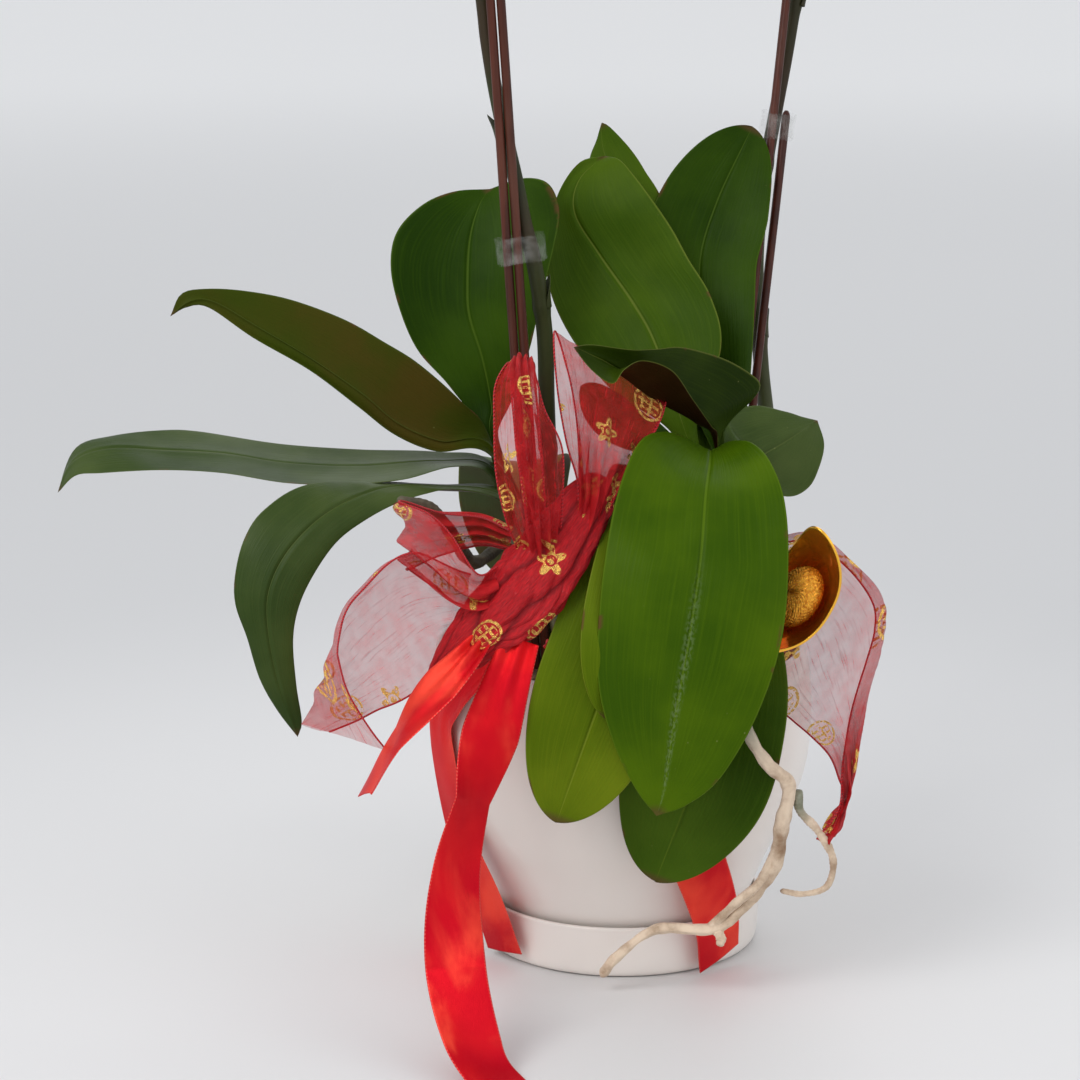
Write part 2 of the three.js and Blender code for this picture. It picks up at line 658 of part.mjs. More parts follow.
// ---------------------------------------------------------------- aerial roots
const LONG_ROOT = [
  [53, -19, 206], [48, -52, 201], [44, -84, 181], [45, -104, 152], [51, -109, 128], [60, -109, 113],
  [69, -106, 103], [67, -100, 84], [64, -94, 63], [52, -91, 44], [38, -90, 33], [14, -88, 32],
  [-3, -84, 18], [-10, -82, 8],
];
const ROOT_BRANCH = [[65, -95, 70], [58, -96, 56], [48, -94, 46], [37, -90, 33]];
const ROOT_BUD = [[40, -90, 33], [41, -92, 27]];
const WIRY_ROOT = [
  [73.5, -103.5, 99], [75, -98, 89], [83, -94, 79], [90, -93, 66], [88, -91, 53],
  [78, -89, 48.5], [68, -86, 49],
];

const SHORT_ROOT = [
  [-56, -13, 186], [-65, -38, 185], [-70, -58, 193], [-75, -70, 205], [-84, -78, 218],
  [-98, -80, 222],
];
const BRANCH_SHARE = 0.55;       // of the root's radius
const BUD_ROOT_SHARE = 0.75;
const WIRY_SHARE = 0.5;
const SHORT_SHARE = 0.9;

function longRoot() {
  return joined([
    tube(LONG_ROOT.map(place), ROOT_RADIUS, 34, 7),
    tube(ROOT_BRANCH.map(place), ROOT_RADIUS * BRANCH_SHARE, 8, 6),
    tube(ROOT_BUD.map(place), ROOT_RADIUS * BUD_ROOT_SHARE, 2, 6),
  ]);
}

add('aerial_root_long', longRoot(), rootSkin);
add('aerial_root_wiry', tube(WIRY_ROOT.map(place), ROOT_RADIUS * WIRY_SHARE, 16, 6), rootSkin);
add('aerial_root_short', tube(SHORT_ROOT.map(place), ROOT_RADIUS * SHORT_SHARE, 14, 7), rootSkin);

// ---------------------------------------------------------------- ribbons
// A ribbon piece: its middle line, the way its face looks, and its half-width along the line.
function ribbonSurface({ path, face, half }) {
  const curve = curveThrough(path.map(place));
  return (s, u) => {
    const { side } = frameAt(curve, face, s);
    return curve.getPointAt(s).addScaledVector(side, along(half, s) * u);
  };
}

const FULL_SHEER = ORGANZA_WIDTH / 2;
const GATHERED = 6.5;
const BOW = {
  bow_loop_tall: {
    path: [
      [-44, -101, 200], [-42, -108, 222], [-41, -109, 250], [-41, -104, 274], [-40, -95, 283],
      [-38, -88, 273], [-38, -88, 248], [-39, -90, 222], [-41, -92, 201],
    ],
    face: [[0, -1, 0.3], [0, -1, 0], [0, -1, 0.2], [0, -0.3, 1], [0, 1, 0.2], [0, 1, 0], [0, 1, -0.3]],
    half: [GATHERED, 11, 13, 13, 13, 10, GATHERED - 1], rows: 15,
  },
  bow_loop_broad: {
    path: [
      [-30, -99, 199], [-18, -88, 224], [-12, -72, 248], [-8, -55, 268], [-10, -44, 269],
      [-17, -52, 246], [-24, -70, 221], [-29, -86, 200],
    ],
    face: [
      [0, -1, 0.3], [0, -1, 0.2], [0.3, -0.8, 0.4], [0.5, -0.2, 0.8], [0.2, 1, 0.1], [0, 1, 0],
      [0, 1, -0.3],
    ],
    half: [3, 9, 14, 22, 24, 20, 11, 7, 3], rows: 15,
  },
  bow_loop_small: {
    path: [
      [-57, -100, 193], [-74, -106, 204], [-90, -106, 209], [-97, -99, 206], [-92, -91, 202],
      [-76, -89, 196], [-58, -92, 190],
    ],
    face: [[0, -1, 0], [0, -1, 0], [-0.6, -1, 0], [-1, 0, 0], [0, 1, 0], [0, 1, 0], [0, 1, 0]],
    half: [4, 12, 17, 18, 17, 11, 4], rows: 13,
  },
  bow_tail_left: {
    path: [[-57, -104, 181], [-72, -109, 179], [-96, -110, 164], [-112, -107, 143], [-121, -103, 121]],
    face: [[0, -1, 0], [0, -1, 0], [0, -1, 0.2]],
    half: [5, 20, FULL_SHEER, FULL_SHEER, FULL_SHEER - 2], rows: 9,
  },
  bow_tail_right: {
    path: [[70, -68, 188], [79, -68, 188], [89, -72, 168], [91, -79, 142], [88, -84, 110], [87, -88, 76]],
    face: [[0, -1, 0.2], [0, -1, 0.2], [0.2, -1, 0.1], [0.2, -1, 0]],
    half: [13, 19, 20, 20, 17, 2], rows: 11,
  },
};
for (const [name, piece] of Object.entries(BOW)) {
  add(name, slab(ribbonSurface(piece), piece.rows, 3, ORGANZA_THICKNESS), organzaRed);
}

const KNOT_MIDDLE = [-41, -96, 183];
const KNOT_SIZE = [14, 11, 14];

function knot() {
  const middle = place(KNOT_MIDDLE);
  return new THREE.SphereGeometry(1, 12, 8).scale(...KNOT_SIZE).translate(middle.x, middle.y, middle.z);
}

add('bow_knot', knot(), organzaRed);

const FULL_SATIN = SATIN_WIDTH / 2;
const TABLE_GAP = 2;
const SATIN = {
  satin_tail_long: {
    path: [
      [-45, -110, 168], [-53, -117, 145], [-64, -126, 108], [-72, -138, 74], [-72, -157, 40],
      [-64, -177, 13], [-54, -190, TABLE_GAP], [-46, -204, TABLE_GAP],
    ],
    face: [
      [0, -1, 0.3], [0.1, -1, 0.2], [0.9, -0.6, 0.1], [0.6, -0.6, 0.6], [0, -0.4, 1], [0, 0, 1],
      [0, 0, 1],
    ],
    half: [8, FULL_SATIN, FULL_SATIN, FULL_SATIN, FULL_SATIN, FULL_SATIN], rows: 14,
  },
  satin_tail_short: {
    path: [[-60, -110, 170], [-72, -120, 158], [-92, -124, 136], [-111, -122, 104]],
    face: [[0, -1, 0.4], [-0.6, -1, 0.5], [-1, -0.6, 0.3], [-1, -0.45, 0.2]],
    half: [4, 11, FULL_SATIN, FULL_SATIN], rows: 8,
  },
};
for (const [name, piece] of Object.entries(SATIN)) {
  add(name, slab(ribbonSurface(piece), piece.rows, 3, SATIN_THICKNESS), satinRed);
}

// The two taut bands run from the knot over the pot's wall to the saucer's foot, square to the
// pot's axis at each height; the stretch under the saucer isn't there, so that it stands flat.
const BANDS = {
  satin_band_left: { start: [-58, -91, 170], turns: [-133, -146, -154, -152, -144, -141] },
  satin_band_right: { start: [-33, -98, 165], turns: [-98, -90, -81, -70, -57, -50] },
};
const BAND_SHARES = [1.06, 0.92, 0.78, 0.48, 0.2];
const BAND_HALF = [4, 9, FULL_SATIN, FULL_SATIN, FULL_SATIN];
const BAND_CLEARANCE = 1.6;      // off the glaze, so that the flat faces of the pot stay clear
const BAND_FOOT = 5.5;           // height of the band's end at the saucer
const BELLY_SHARE = 0.62;        // of the pot's height, below which the band runs straight

function bandSurface({ start, turns }) {
  const sagitta = FULL_SATIN * FULL_SATIN / (2 * POT_RADIUS);
  const clear = BAND_CLEARANCE + SATIN_THICKNESS / 2 + sagitta;
  const foot = [saucerRadius + clear + FIT_GAP, BAND_FOOT];
  const tangentPoints = BAND_SHARES.map((share) => {
    const straight = foot[0] + (POT_RADIUS + clear - foot[0]) * Math.min(share / BELLY_SHARE, 1);
    return [Math.max(straight, potRadius(share * POT_HEIGHT) + clear), share * POT_HEIGHT + potFoot];
  });
  const points = [...tangentPoints, foot].map(([radius, height], i) => {
    const turn = turns[i] * Math.PI / 180;
    return new THREE.Vector3(radius * Math.cos(turn), radius * Math.sin(turn), height);
  });
  const curve = curveThrough([place(start), ...points]);
  return (s, u) => {
    const middle = curve.getPointAt(s);
    const outward = [middle.x, middle.y, 0.01];
    const { side } = frameAt(curve, [outward, outward], s);
    return middle.addScaledVector(side, along(BAND_HALF, s) * u);
  };
}

for (const [name, band] of Object.entries(BANDS)) {
  add(name, slab(bandSurface(band), 12, 3, SATIN_THICKNESS), satinRed);
}

// ---------------------------------------------------------------- gold boat ornament
// A toy ingot: a boat-shaped dish with high prows and a glitter mound in it.
const INGOT_WIDTH = 34;
const INGOT_PROW = 15;
const INGOT_DEPTH = 10;
const INGOT_WALL = 1.6;
const INGOT_MIDDLE = [73, -91, 182];
const INGOT_FACING = [-0.55, -0.75, 0.45];
const INGOT_LENGTHWISE = [0.5, 0.1, 0.86];
const MOUND_SIZE = [INGOT_LENGTH * 0.24, INGOT_WIDTH * 0.3, INGOT_DEPTH * 0.75];
const MOUND_LIFT = 3 - INGOT_DEPTH * 0.25;
const PROW_POWER = 3;
const BOWL_POWER = 2.5;

function ingotBoat() {
  return dish((share, angle) => {
    const x = INGOT_LENGTH / 2 * share * Math.cos(angle);
    const y = INGOT_WIDTH / 2 * share * Math.sin(angle);
    const prow = INGOT_PROW * (share * Math.abs(Math.cos(angle))) ** PROW_POWER;
    return new THREE.Vector3(x, y, prow + INGOT_DEPTH * (share ** BOWL_POWER - 1));
  }, 3, 20, INGOT_WALL);
}

function glitterMound() {
  return new THREE.SphereGeometry(1, 14, 8).scale(...MOUND_SIZE).translate(0, 0, MOUND_LIFT);
}

function ingotPlaced(geometry) {
  const z = vector(INGOT_FACING).normalize();
  const x = vector(INGOT_LENGTHWISE);
  x.addScaledVector(z, -x.dot(z)).normalize();
  const y = new THREE.Vector3().crossVectors(z, x);
  geometry.applyMatrix4(new THREE.Matrix4().makeBasis(x, y, z));
  const middle = place(INGOT_MIDDLE);
  return geometry.translate(middle.x, middle.y, middle.z);
}

add('ingot_boat', ingotPlaced(ingotBoat()), goldPlastic);
add('ingot_glitter', ingotPlaced(glitterMound()), goldPlastic);

export default object;
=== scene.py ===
# %% [markdown]
# # A potted moth orchid
# Two orchid plants share one round ceramic pot. Each holds up an arching flower spike tied to thin
# stakes, and a sheer bow with satin tails dresses the pot. The measured solids of every part come
# first, as a fixed frame, and each one is then covered by a finer surface that is worked out here.

# %% Load the frame
import bpy
import numpy as np
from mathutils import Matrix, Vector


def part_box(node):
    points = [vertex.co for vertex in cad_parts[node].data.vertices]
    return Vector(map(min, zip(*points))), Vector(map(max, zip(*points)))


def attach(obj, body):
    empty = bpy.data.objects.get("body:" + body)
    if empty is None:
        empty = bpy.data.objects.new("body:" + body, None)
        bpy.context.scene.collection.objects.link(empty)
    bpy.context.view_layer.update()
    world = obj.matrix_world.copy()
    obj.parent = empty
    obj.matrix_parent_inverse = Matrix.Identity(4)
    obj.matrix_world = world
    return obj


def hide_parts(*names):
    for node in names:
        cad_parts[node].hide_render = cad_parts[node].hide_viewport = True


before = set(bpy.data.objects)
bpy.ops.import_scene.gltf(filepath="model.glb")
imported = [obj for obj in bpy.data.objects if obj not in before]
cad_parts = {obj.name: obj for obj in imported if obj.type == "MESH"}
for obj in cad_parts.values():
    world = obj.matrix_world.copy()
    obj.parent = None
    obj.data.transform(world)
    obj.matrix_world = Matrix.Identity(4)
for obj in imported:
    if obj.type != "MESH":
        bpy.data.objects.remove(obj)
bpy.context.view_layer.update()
MM = 0.001
base_high = np.array(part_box("saucer")[1]) / MM
pot_low, pot_high = (np.array(corner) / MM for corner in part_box("pot"))
bark_low, bark_high = (np.array(corner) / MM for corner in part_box("potting_bark"))
print(f"frame of {len(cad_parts)} nodes, pot rim at {pot_high[2]:.1f} mm")

# %% [markdown]
# ## The camera
# A tall plant looks best from a little above its pot, through a long lens, so that the stems stay
# parallel. A camera can be placed by hand, or worked out from the point it looks at, its height and
# its distance. The second way is used, because the numbers then mean something.

# %% Set the camera
AIM = np.array([-37.0, 0.0, 187.0])
ELEVATION = np.radians(12.5)
DISTANCE = 1400.0
LENS = 102.67
SENSOR = 36.0

eye = AIM - DISTANCE * np.array([0.0, np.cos(ELEVATION), -np.sin(ELEVATION)])
camera = bpy.data.objects.new("camera", bpy.data.cameras.new("camera"))
camera.data.lens = LENS
camera.data.sensor_width = SENSOR
camera.location = eye * MM
camera.rotation_euler = (np.pi / 2 - ELEVATION, 0.0, 0.0)
bpy.context.scene.collection.objects.link(camera)
bpy.context.scene.camera = camera
print("camera at", np.round(eye), "mm")

# %% [markdown]
# ## Paths, strips and skins
# Leaves, stems, roots and ribbons are all something carried along a line. A curve object could do
# it, but a line sampled in numpy gives every point of the surface at once, and its length and width
# can be read by the finish afterwards. A path is sampled at equal steps of its own length.

# %% Helpers for paths
SAMPLES_PER_STRETCH = 60


def run(points, count):
    """Equal steps along a Catmull-Rom line: each stretch is the cubic through its two points, whose
    slopes are half the step between their neighbours. Gives the places and the unit directions."""
    p = np.asarray(points, float)
    p = np.vstack([2 * p[0] - p[1], p, 2 * p[-1] - p[-2]])
    stretches = len(p) - 3
    t = np.linspace(0, stretches, SAMPLES_PER_STRETCH * stretches + 1)
    i = np.minimum(t.astype(int), stretches - 1)
    f = (t - i)[:, None]
    a, b, c, d = p[i], p[i + 1], p[i + 2], p[i + 3]
    line = 0.5 * (2 * b + (c - a) * f + (2 * a - 5 * b + 4 * c - d) * f**2 + (3 * b - a - 3 * c + d) * f**3)
    length = np.r_[0, np.cumsum(np.linalg.norm(np.diff(line, axis=0), axis=1))]
    steps = np.linspace(0, length[-1], count)
    places = np.stack([np.interp(steps, length, line[:, k]) for k in range(3)], 1)
    return places, unit(np.gradient(places, axis=0))


def unit(vectors):
    """Each vector over its own length."""
    return vectors / np.maximum(np.linalg.norm(vectors, axis=-1, keepdims=True), 1e-9)


def along(values, s):
    """Values between the equal steps of a list, at the shares s, for numbers or directions."""
    values = np.asarray(values, float)
    at = np.linspace(0, 1, len(values))
    if values.ndim == 1:
        return np.interp(s, at, values)
    return np.stack([np.interp(s, at, values[:, k]) for k in range(values.shape[1])], -1)


def frames(directions, up):
    """The side and the upper normal of a strip: up without its part along the line, and the cross
    product of the line's direction with it."""
    normal = unit(up - (up * directions).sum(-1, keepdims=True) * directions)
    return np.cross(directions, normal), normal


def length_of(places):
    """The sum of the steps of a line."""
    return np.linalg.norm(np.diff(places, axis=0), axis=1).sum()


print("a 3-point path of length", round(length_of(run([[0, 0, 0], [50, 0, 0], [100, 0, 0]], 20)[0]), 1))

# %% Helpers for surfaces
def skin(rings, **values):
    """A closed surface over rings (n, m, 3): four-sided faces between neighbours and a fan to the
    middle of each end ring, turned so that the signed volume is positive. A value (n, m) goes along."""
    n, m = rings.shape[:2]
    points = np.vstack([rings.reshape(-1, 3), rings[0].mean(0), rings[-1].mean(0)])
    i, j = np.meshgrid(np.arange(n - 1), np.arange(m), indexing="ij")
    a, b = i * m + j, i * m + (j + 1) % m
    quads = np.stack([a, b, b + m, a + m], -1).reshape(-1, 4)
    j = np.arange(m)
    start = np.stack([np.full(m, n * m), (j + 1) % m, j], 1)
    end = np.stack([np.full(m, n * m + 1), (n - 1) * m + j, (n - 1) * m + (j + 1) % m], 1)
    faces = [quads, np.vstack([start, end])]
    triangles = np.vstack([quads[:, [0, 1, 2]], quads[:, [0, 2, 3]], faces[1]])
    corner = points[triangles]
    if (corner[:, 0] * np.cross(corner[:, 1], corner[:, 2])).sum() < 0:
        faces = [f[:, ::-1] for f in faces]
    values = {k: np.broadcast_to(v, (n, m)) for k, v in values.items()}
    values = {k: np.r_[v.ravel(), v[0].mean(), v[-1].mean()] for k, v in values.items()}
    return points, faces, values


def cloth(grid, **values):
    """An open sheet over a grid (n, m, 3), one layer thick, with a four-sided face in each cell."""
    n, m = grid.shape[:2]
    i, j = np.meshgrid(np.arange(n - 1), np.arange(m - 1), indexing="ij")
    a = i * m + j
    quads = np.stack([a, a + 1, a + m + 1, a + m], -1).reshape(-1, 4)
    values = {k: np.broadcast_to(v, (n, m)).ravel() for k, v in values.items()}
    return grid.reshape(-1, 3), [quads], values


def together(parts):
    """Several surfaces as one mesh: their points in a row, and each one's faces moved on."""
    points, faces, values, first = [], [], [], 0
    for some_points, some_faces, some_values in parts:
        points.append(some_points)
        faces += [f + first for f in some_faces]
        values.append(some_values)
        first += len(some_points)
    keys = values[0].keys()
    return np.vstack(points), faces, {k: np.concatenate([v[k] for v in values]) for k in keys}


dimple = np.array([[[1, 0, 0], [0, 1, 0], [-1, 0, 0]], [[1, 0, 1], [0, 1, 1], [-1, 0, 1]]], float)
print("a closed skin over 2 rings of 3 points has", sum(len(f) for f in skin(dimple)[1]), "faces")


# %% Helper for pieces
def piece(name, surface, finish, slot, *stands_for):
    """Puts a surface into a mesh, in metres, and gives it its finish. With a slot it rides on the
    plant's body and may stand for CAD nodes; without one it belongs to the stage."""
    points, faces, values = surface
    corners = np.concatenate([f.ravel() for f in faces]).astype(np.int32)
    sizes = np.concatenate([np.full(len(f), f.shape[1]) for f in faces])
    mesh = bpy.data.meshes.new(name)
    mesh.vertices.add(len(points))
    mesh.vertices.foreach_set("co", (points * MM).astype(np.float32).ravel())
    mesh.loops.add(len(corners))
    mesh.loops.foreach_set("vertex_index", corners)
    mesh.polygons.add(len(sizes))
    mesh.polygons.foreach_set("loop_start", np.r_[0, np.cumsum(sizes)[:-1]].astype(np.int32))
    mesh.polygons.foreach_set("use_smooth", np.ones(len(sizes), bool))
    for key, value in values.items():
        attribute = mesh.attributes.new(key, "FLOAT", "POINT")
        attribute.data.foreach_set("value", np.asarray(value, np.float32))
    mesh.update(calc_edges=True)
    mesh.materials.append(finish)
    thing = bpy.data.objects.new(name, mesh)
    bpy.context.scene.collection.objects.link(thing)
    if slot:
        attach(thing, "root")
    if stands_for:
        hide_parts(*stands_for)
    print(f"{name}: {int((sizes - 2).sum())} triangles")
    return thing


# %% Helpers for round things
STEEP = 0.5


def tube(points, radius, steps, sides=16):
    """A round section carried along a path: the radius may change along it, and each ring turns with
    a side that is kept level, so that the skin doesn't twist. A steep path gets a slanted side."""
    places, directions = run(points, steps)
    s = np.linspace(0, 1, steps)
    steep = abs(directions[:, 2]).mean() > STEEP
    level = np.array([0.31, -0.84, 0.45]) if steep else np.array([0.0, 0.1, 1.0])
    side, normal = frames(directions, np.broadcast_to(level, places.shape))
    turn = np.linspace(0, 2 * np.pi, sides, endpoint=False)
    reach = along(np.atleast_1d(radius) if np.ndim(radius) else [radius, radius], s)[:, None, None]
    circle = side[:, None] * np.cos(turn)[:, None] + normal[:, None] * np.sin(turn)[:, None]
    return skin(places[:, None] + reach * circle, along=s[:, None], around=(turn / (2 * np.pi))[None])


def lathe(profile, sides):
    """A profile of (radius, height) turned about the upright axis, closed where it meets the axis."""
    profile = np.asarray(profile, float)
    turn = np.linspace(0, 2 * np.pi, sides, endpoint=False)
    ring = np.stack([np.cos(turn), np.sin(turn), np.zeros(sides)], -1)
    rise = np.array([0.0, 0.0, 1.0])
    return skin(profile[:, 0, None, None] * ring + profile[:, 1, None, None] * rise)


def smooth_profile(points, count):
    """A profile through a few points, as a Catmull-Rom line with equal steps."""
    points = np.asarray(points, float)
    return run(np.c_[points, np.zeros(len(points))], count)[0][:, :2]


print("a profile cut in 5 points:", np.round(smooth_profile([(0, 0), (4, 1), (6, 5)], 5), 1).tolist())

# %% [markdown]
# ## A short language for finishes
# Every finish is a small net of shader nodes. Writing each net out in full would bury what is being
# said, so a recipe holds one material and offers a few verbs: noise, stretch, mix and bump.

# %% Helpers for finishes
class Recipe:
    """One material under construction. Each verb adds a node and gives back its output socket."""

    def __init__(self, name, **sockets):
        self.material = bpy.data.materials.new(name)
        self.material.use_nodes = True
        self.tree = self.material.node_tree
        self.shader = self.tree.nodes["Principled BSDF"]
        self.object_place = self.put("ShaderNodeTexCoord").outputs["Object"]
        self.set(**sockets)

    def put(self, kind, settings=None, **inputs):
        """A node of this kind. An input is named, or given by its number after an underscore."""
        node = self.tree.nodes.new(kind)
        for key, value in (settings or {}).items():
            setattr(node, key, value)
        for key, value in inputs.items():
            self.plug(node.inputs[int(key[1:]) if key[1:].isdigit() else key.replace("_", " ")], value)
        return node

    def plug(self, socket, value):
        """Joins a socket to another one, or gives it a plain value."""
        if isinstance(value, bpy.types.NodeSocket):
            self.tree.links.new(value, socket)
        elif isinstance(value, tuple) and len(value) == 3 and socket.type == "RGBA":
            socket.default_value = (*value, 1.0)
        else:
            socket.default_value = value

    def set(self, **sockets):
        """Fills the shader's own sockets and gives the finished material."""
        for key, value in sockets.items():
            self.plug(self.shader.inputs[key.replace("_", " ")], value)
        return self.material

    def value(self, name):
        """A number that the piece's points carry."""
        return self.put("ShaderNodeAttribute", {"attribute_name": name}).outputs["Fac"]

    def sums(self, operation, *values):
        """One step of arithmetic."""
        inputs = {f"_{i}": v for i, v in enumerate(values)}
        return self.put("ShaderNodeMath", {"operation": operation}, **inputs).outputs[0]

    def times(self, first, second):
        """The product of two numbers."""
        return self.sums("MULTIPLY", first, second)

    def distance(self, first, second):
        """How far one number is from another."""
        return self.sums("ABSOLUTE", self.sums("SUBTRACT", first, second))

    def stretched(self, scale, place=None):
        """A place whose three axes are scaled, for a pattern with a grain."""
        place = place or self.object_place
        return self.put("ShaderNodeMapping", Vector=place, Scale=scale).outputs[0]

    def vector(self, x, y, z=0.0):
        """A place made of two or three numbers."""
        return self.put("ShaderNodeCombineXYZ", X=x, Y=y, Z=z).outputs[0]

    def woven(self, across, along, detail):
        """Noise over a surface's own two numbers, for veins, threads and streaks."""
        return self.noise(1.0, self.vector(across, along), detail=detail)

    def noise(self, scale, place=None, detail=3.0, rough=0.5, warp=0.0):
        """Clouds from 0 to 1, with this many to the metre when the place is the piece's own."""
        place = place or self.object_place
        settings = dict(Vector=place, Scale=scale, Detail=detail, Roughness=rough, Distortion=warp)
        return self.put("ShaderNodeTexNoise", **settings).outputs["Fac"]

    def cells(self, scale, output="Distance"):
        """Scattered cells: the distance to the nearest middle, or that cell's random colour."""
        return self.put("ShaderNodeTexVoronoi", Vector=self.object_place, Scale=scale).outputs[output]

    def ease(self, value, low, high, start=0.0, end=1.0):
        """A soft step from start to end while the value goes from low to high."""
        inputs = {"_0": value, "_1": low, "_2": high, "_3": start, "_4": end}
        return self.put("ShaderNodeMapRange", {"interpolation_type": "SMOOTHSTEP"}, **inputs).outputs[0]

    def mix(self, share, first, second):
        """A colour between two colours."""
        return self.put("ShaderNodeMix", {"data_type": "RGBA"}, _0=share, _6=first, _7=second).outputs[2]

    def bump(self, height, distance, strength=1.0, over=None):
        """A relief of this height in metres, on top of another relief if one is given."""
        inputs = {"Height": height, "Distance": distance, "Strength": strength}
        if over is not None:
            inputs["Normal"] = over
        return self.put("ShaderNodeBump", **inputs).outputs[0]


print("a recipe's verbs:", ", ".join(verb for verb in vars(Recipe) if not verb.startswith("_")))

# %% [markdown]
# ## Pot and saucer
# The pot is slip-cast: a slim foot, a full belly and a thin rolled lip, under a warm white satin
# glaze. A turned profile is the natural way, and it follows the measured pot from foot to rim.
# Glaze is never quite even, so the finish has soft waves, fine pits and a thin clear coat.

# %% Turn the pot's profile
# shares of the height, and of the way out from the foot to the belly
POT_SHARES = [
    (0.0, 0.0), (0.10, 0.16), (0.19, 0.30), (0.31, 0.50),
    (0.42, 0.71), (0.55, 0.90), (0.66, 0.98), (0.78, 1.0),
]
POT_SIDES = 180
POT_WALL = 4.0
LIP_INSET = 3.0
FOOT_INSET = 35.5
belly_radius = pot_high[0]
lip_radius = belly_radius - LIP_INSET
foot_radius = belly_radius - FOOT_INSET
pot_foot = pot_low[2]
pot_height = pot_high[2] - pot_low[2]


def pot_outside():
    """Outer profile from foot to lip, through the shares of height and of the way to the belly."""
    points = [(foot_radius + FOOT_INSET * share, h * pot_height) for h, share in POT_SHARES]
    points += [(belly_radius - 0.9, 0.90 * pot_height), (lip_radius + 0.3, 0.975 * pot_height)]
    return smooth_profile(points, 60)


def rounded(centre, radius, start, end, steps=9):
    """An arc of a profile, in degrees, about a centre."""
    turn = np.radians(np.linspace(start, end, steps))
    return np.c_[centre[0] + radius * np.cos(turn), centre[1] + radius * np.sin(turn)]


outside = pot_outside()
inside = outside[outside[:, 1] > 2.4 * POT_WALL][::-1] - [POT_WALL, 0]
lip = rounded((lip_radius - POT_WALL / 2, pot_height - POT_WALL / 2), POT_WALL / 2, 0, 180)
foot_edge = rounded((foot_radius - 2.0, 2.0), 2.0, -90, -10, 5)
profile = np.vstack([
    [(0.01, 2.0), (foot_radius - 8, 2.0), (foot_radius - 6.5, 0.3), (foot_radius - 4.5, 0.0)],
    foot_edge, outside[outside[:, 1] > 3.0], lip, inside,
    [(foot_radius - POT_WALL - 2, POT_WALL + 1.0), (0.01, POT_WALL)],
])
profile[:, 1] += pot_foot
print(f"the pot's profile has {len(profile)} points and a belly of {belly_radius:.1f} mm")

# %% Mix the glaze and set down the pot
glaze = Recipe("warm_white_glaze", Roughness=0.34, Coat_Weight=0.35, Coat_Roughness=0.16, Coat_IOR=1.5)
cloudy = glaze.noise(9.0, detail=2.0)
specks = glaze.ease(glaze.cells(520.0), 0.0, 0.045, 1.0, 0.0)
body = glaze.mix(glaze.ease(cloudy, 0.3, 0.7), (0.80, 0.735, 0.675), (0.85, 0.79, 0.735))
body = glaze.mix(glaze.times(specks, 0.16), body, (0.45, 0.38, 0.31))
waves = glaze.bump(glaze.noise(26.0, detail=2.0), 0.0006, 0.25)
glaze.set(
    Base_Color=body,
    Roughness=glaze.ease(glaze.noise(60.0), 0.2, 0.8, 0.28, 0.40),
    Normal=glaze.bump(glaze.noise(900.0, detail=1.0), 0.00004, 0.25, waves),
)
piece("pot_glazed", lathe(profile, POT_SIDES), glaze.material, "glazed_ceramic", "pot")

# %% Turn the saucer
SAUCER_WALL = 2.3
SAUCER_FLOOR = 3.0
saucer_radius = base_high[0]
saucer_height = base_high[2]
inner = saucer_radius - SAUCER_WALL
wall_outside = smooth_profile([
    (saucer_radius - 4.8, 0.0), (saucer_radius - 2.2, 1.2), (saucer_radius - 1.0, 4.5),
    (saucer_radius - 0.35, 14.0), (saucer_radius - 0.05, saucer_height - 1.6),
], 20)
saucer_profile = np.vstack([
    [(0.01, 0.6), (saucer_radius - 12, 0.6), (saucer_radius - 10, 0.0)], wall_outside,
    rounded((saucer_radius - SAUCER_WALL / 2, saucer_height - SAUCER_WALL / 2), SAUCER_WALL / 2, 0, 180),
    smooth_profile([
        (inner, saucer_height - 2), (inner - 1, SAUCER_FLOOR + 4), (inner - 4, SAUCER_FLOOR),
    ], 10),
    [(0.01, SAUCER_FLOOR)],
])
piece("saucer_glazed", lathe(saucer_profile, POT_SIDES), glaze.material, "glazed_ceramic", "saucer")

# %% [markdown]
# ## Potting bark
# Moth orchids don't grow in soil. They sit in chips of fir bark with tufts of moss between them. A
# bumpy disc alone looks like mud, so a few hundred separate chips lie on it, each a small split
# block with uneven corners, scattered and tilted by a seeded draw.

# %% Shape the bark bed
BED_SIDES = 96
BED_TOP = bark_high[2] - 3.0
WALL_DROP = 2.5


def bark_bed():
    """A disc whose height falls to the wall and rises in lumps, down to the pot's floor."""
    levels = np.linspace(0.001, 1, 26)
    radius = (bark_high[0] - 0.6) * levels
    turn = np.linspace(0, 2 * np.pi, BED_SIDES, endpoint=False)
    x, y = radius[:, None] * np.cos(turn), radius[:, None] * np.sin(turn)
    lumps = 0.9 * np.sin(x * 0.31) * np.cos(y * 0.27) + 0.6 * np.sin(x * 0.53 + y * 0.41)
    top = BED_TOP + lumps - WALL_DROP * levels[:, None] ** 6
    upper = np.stack([x, y, top], -1)
    depth = bark_high[2] - bark_low[2]
    lower = [
        np.stack([x[-1] * a, y[-1] * a, np.full(BED_SIDES, bark_low[2] + b * depth)], -1)
        for a, b in [(0.985, 0.7), (0.86, 0.35), (0.64, 0.08)]
    ]
    return skin(np.vstack([upper, np.array(lower)]), tone=0.2)


print(f"the bed is {BED_TOP:.1f} mm above the table")

# %% Scatter the bark chips
CHIPS = 420
rng = np.random.default_rng(7)


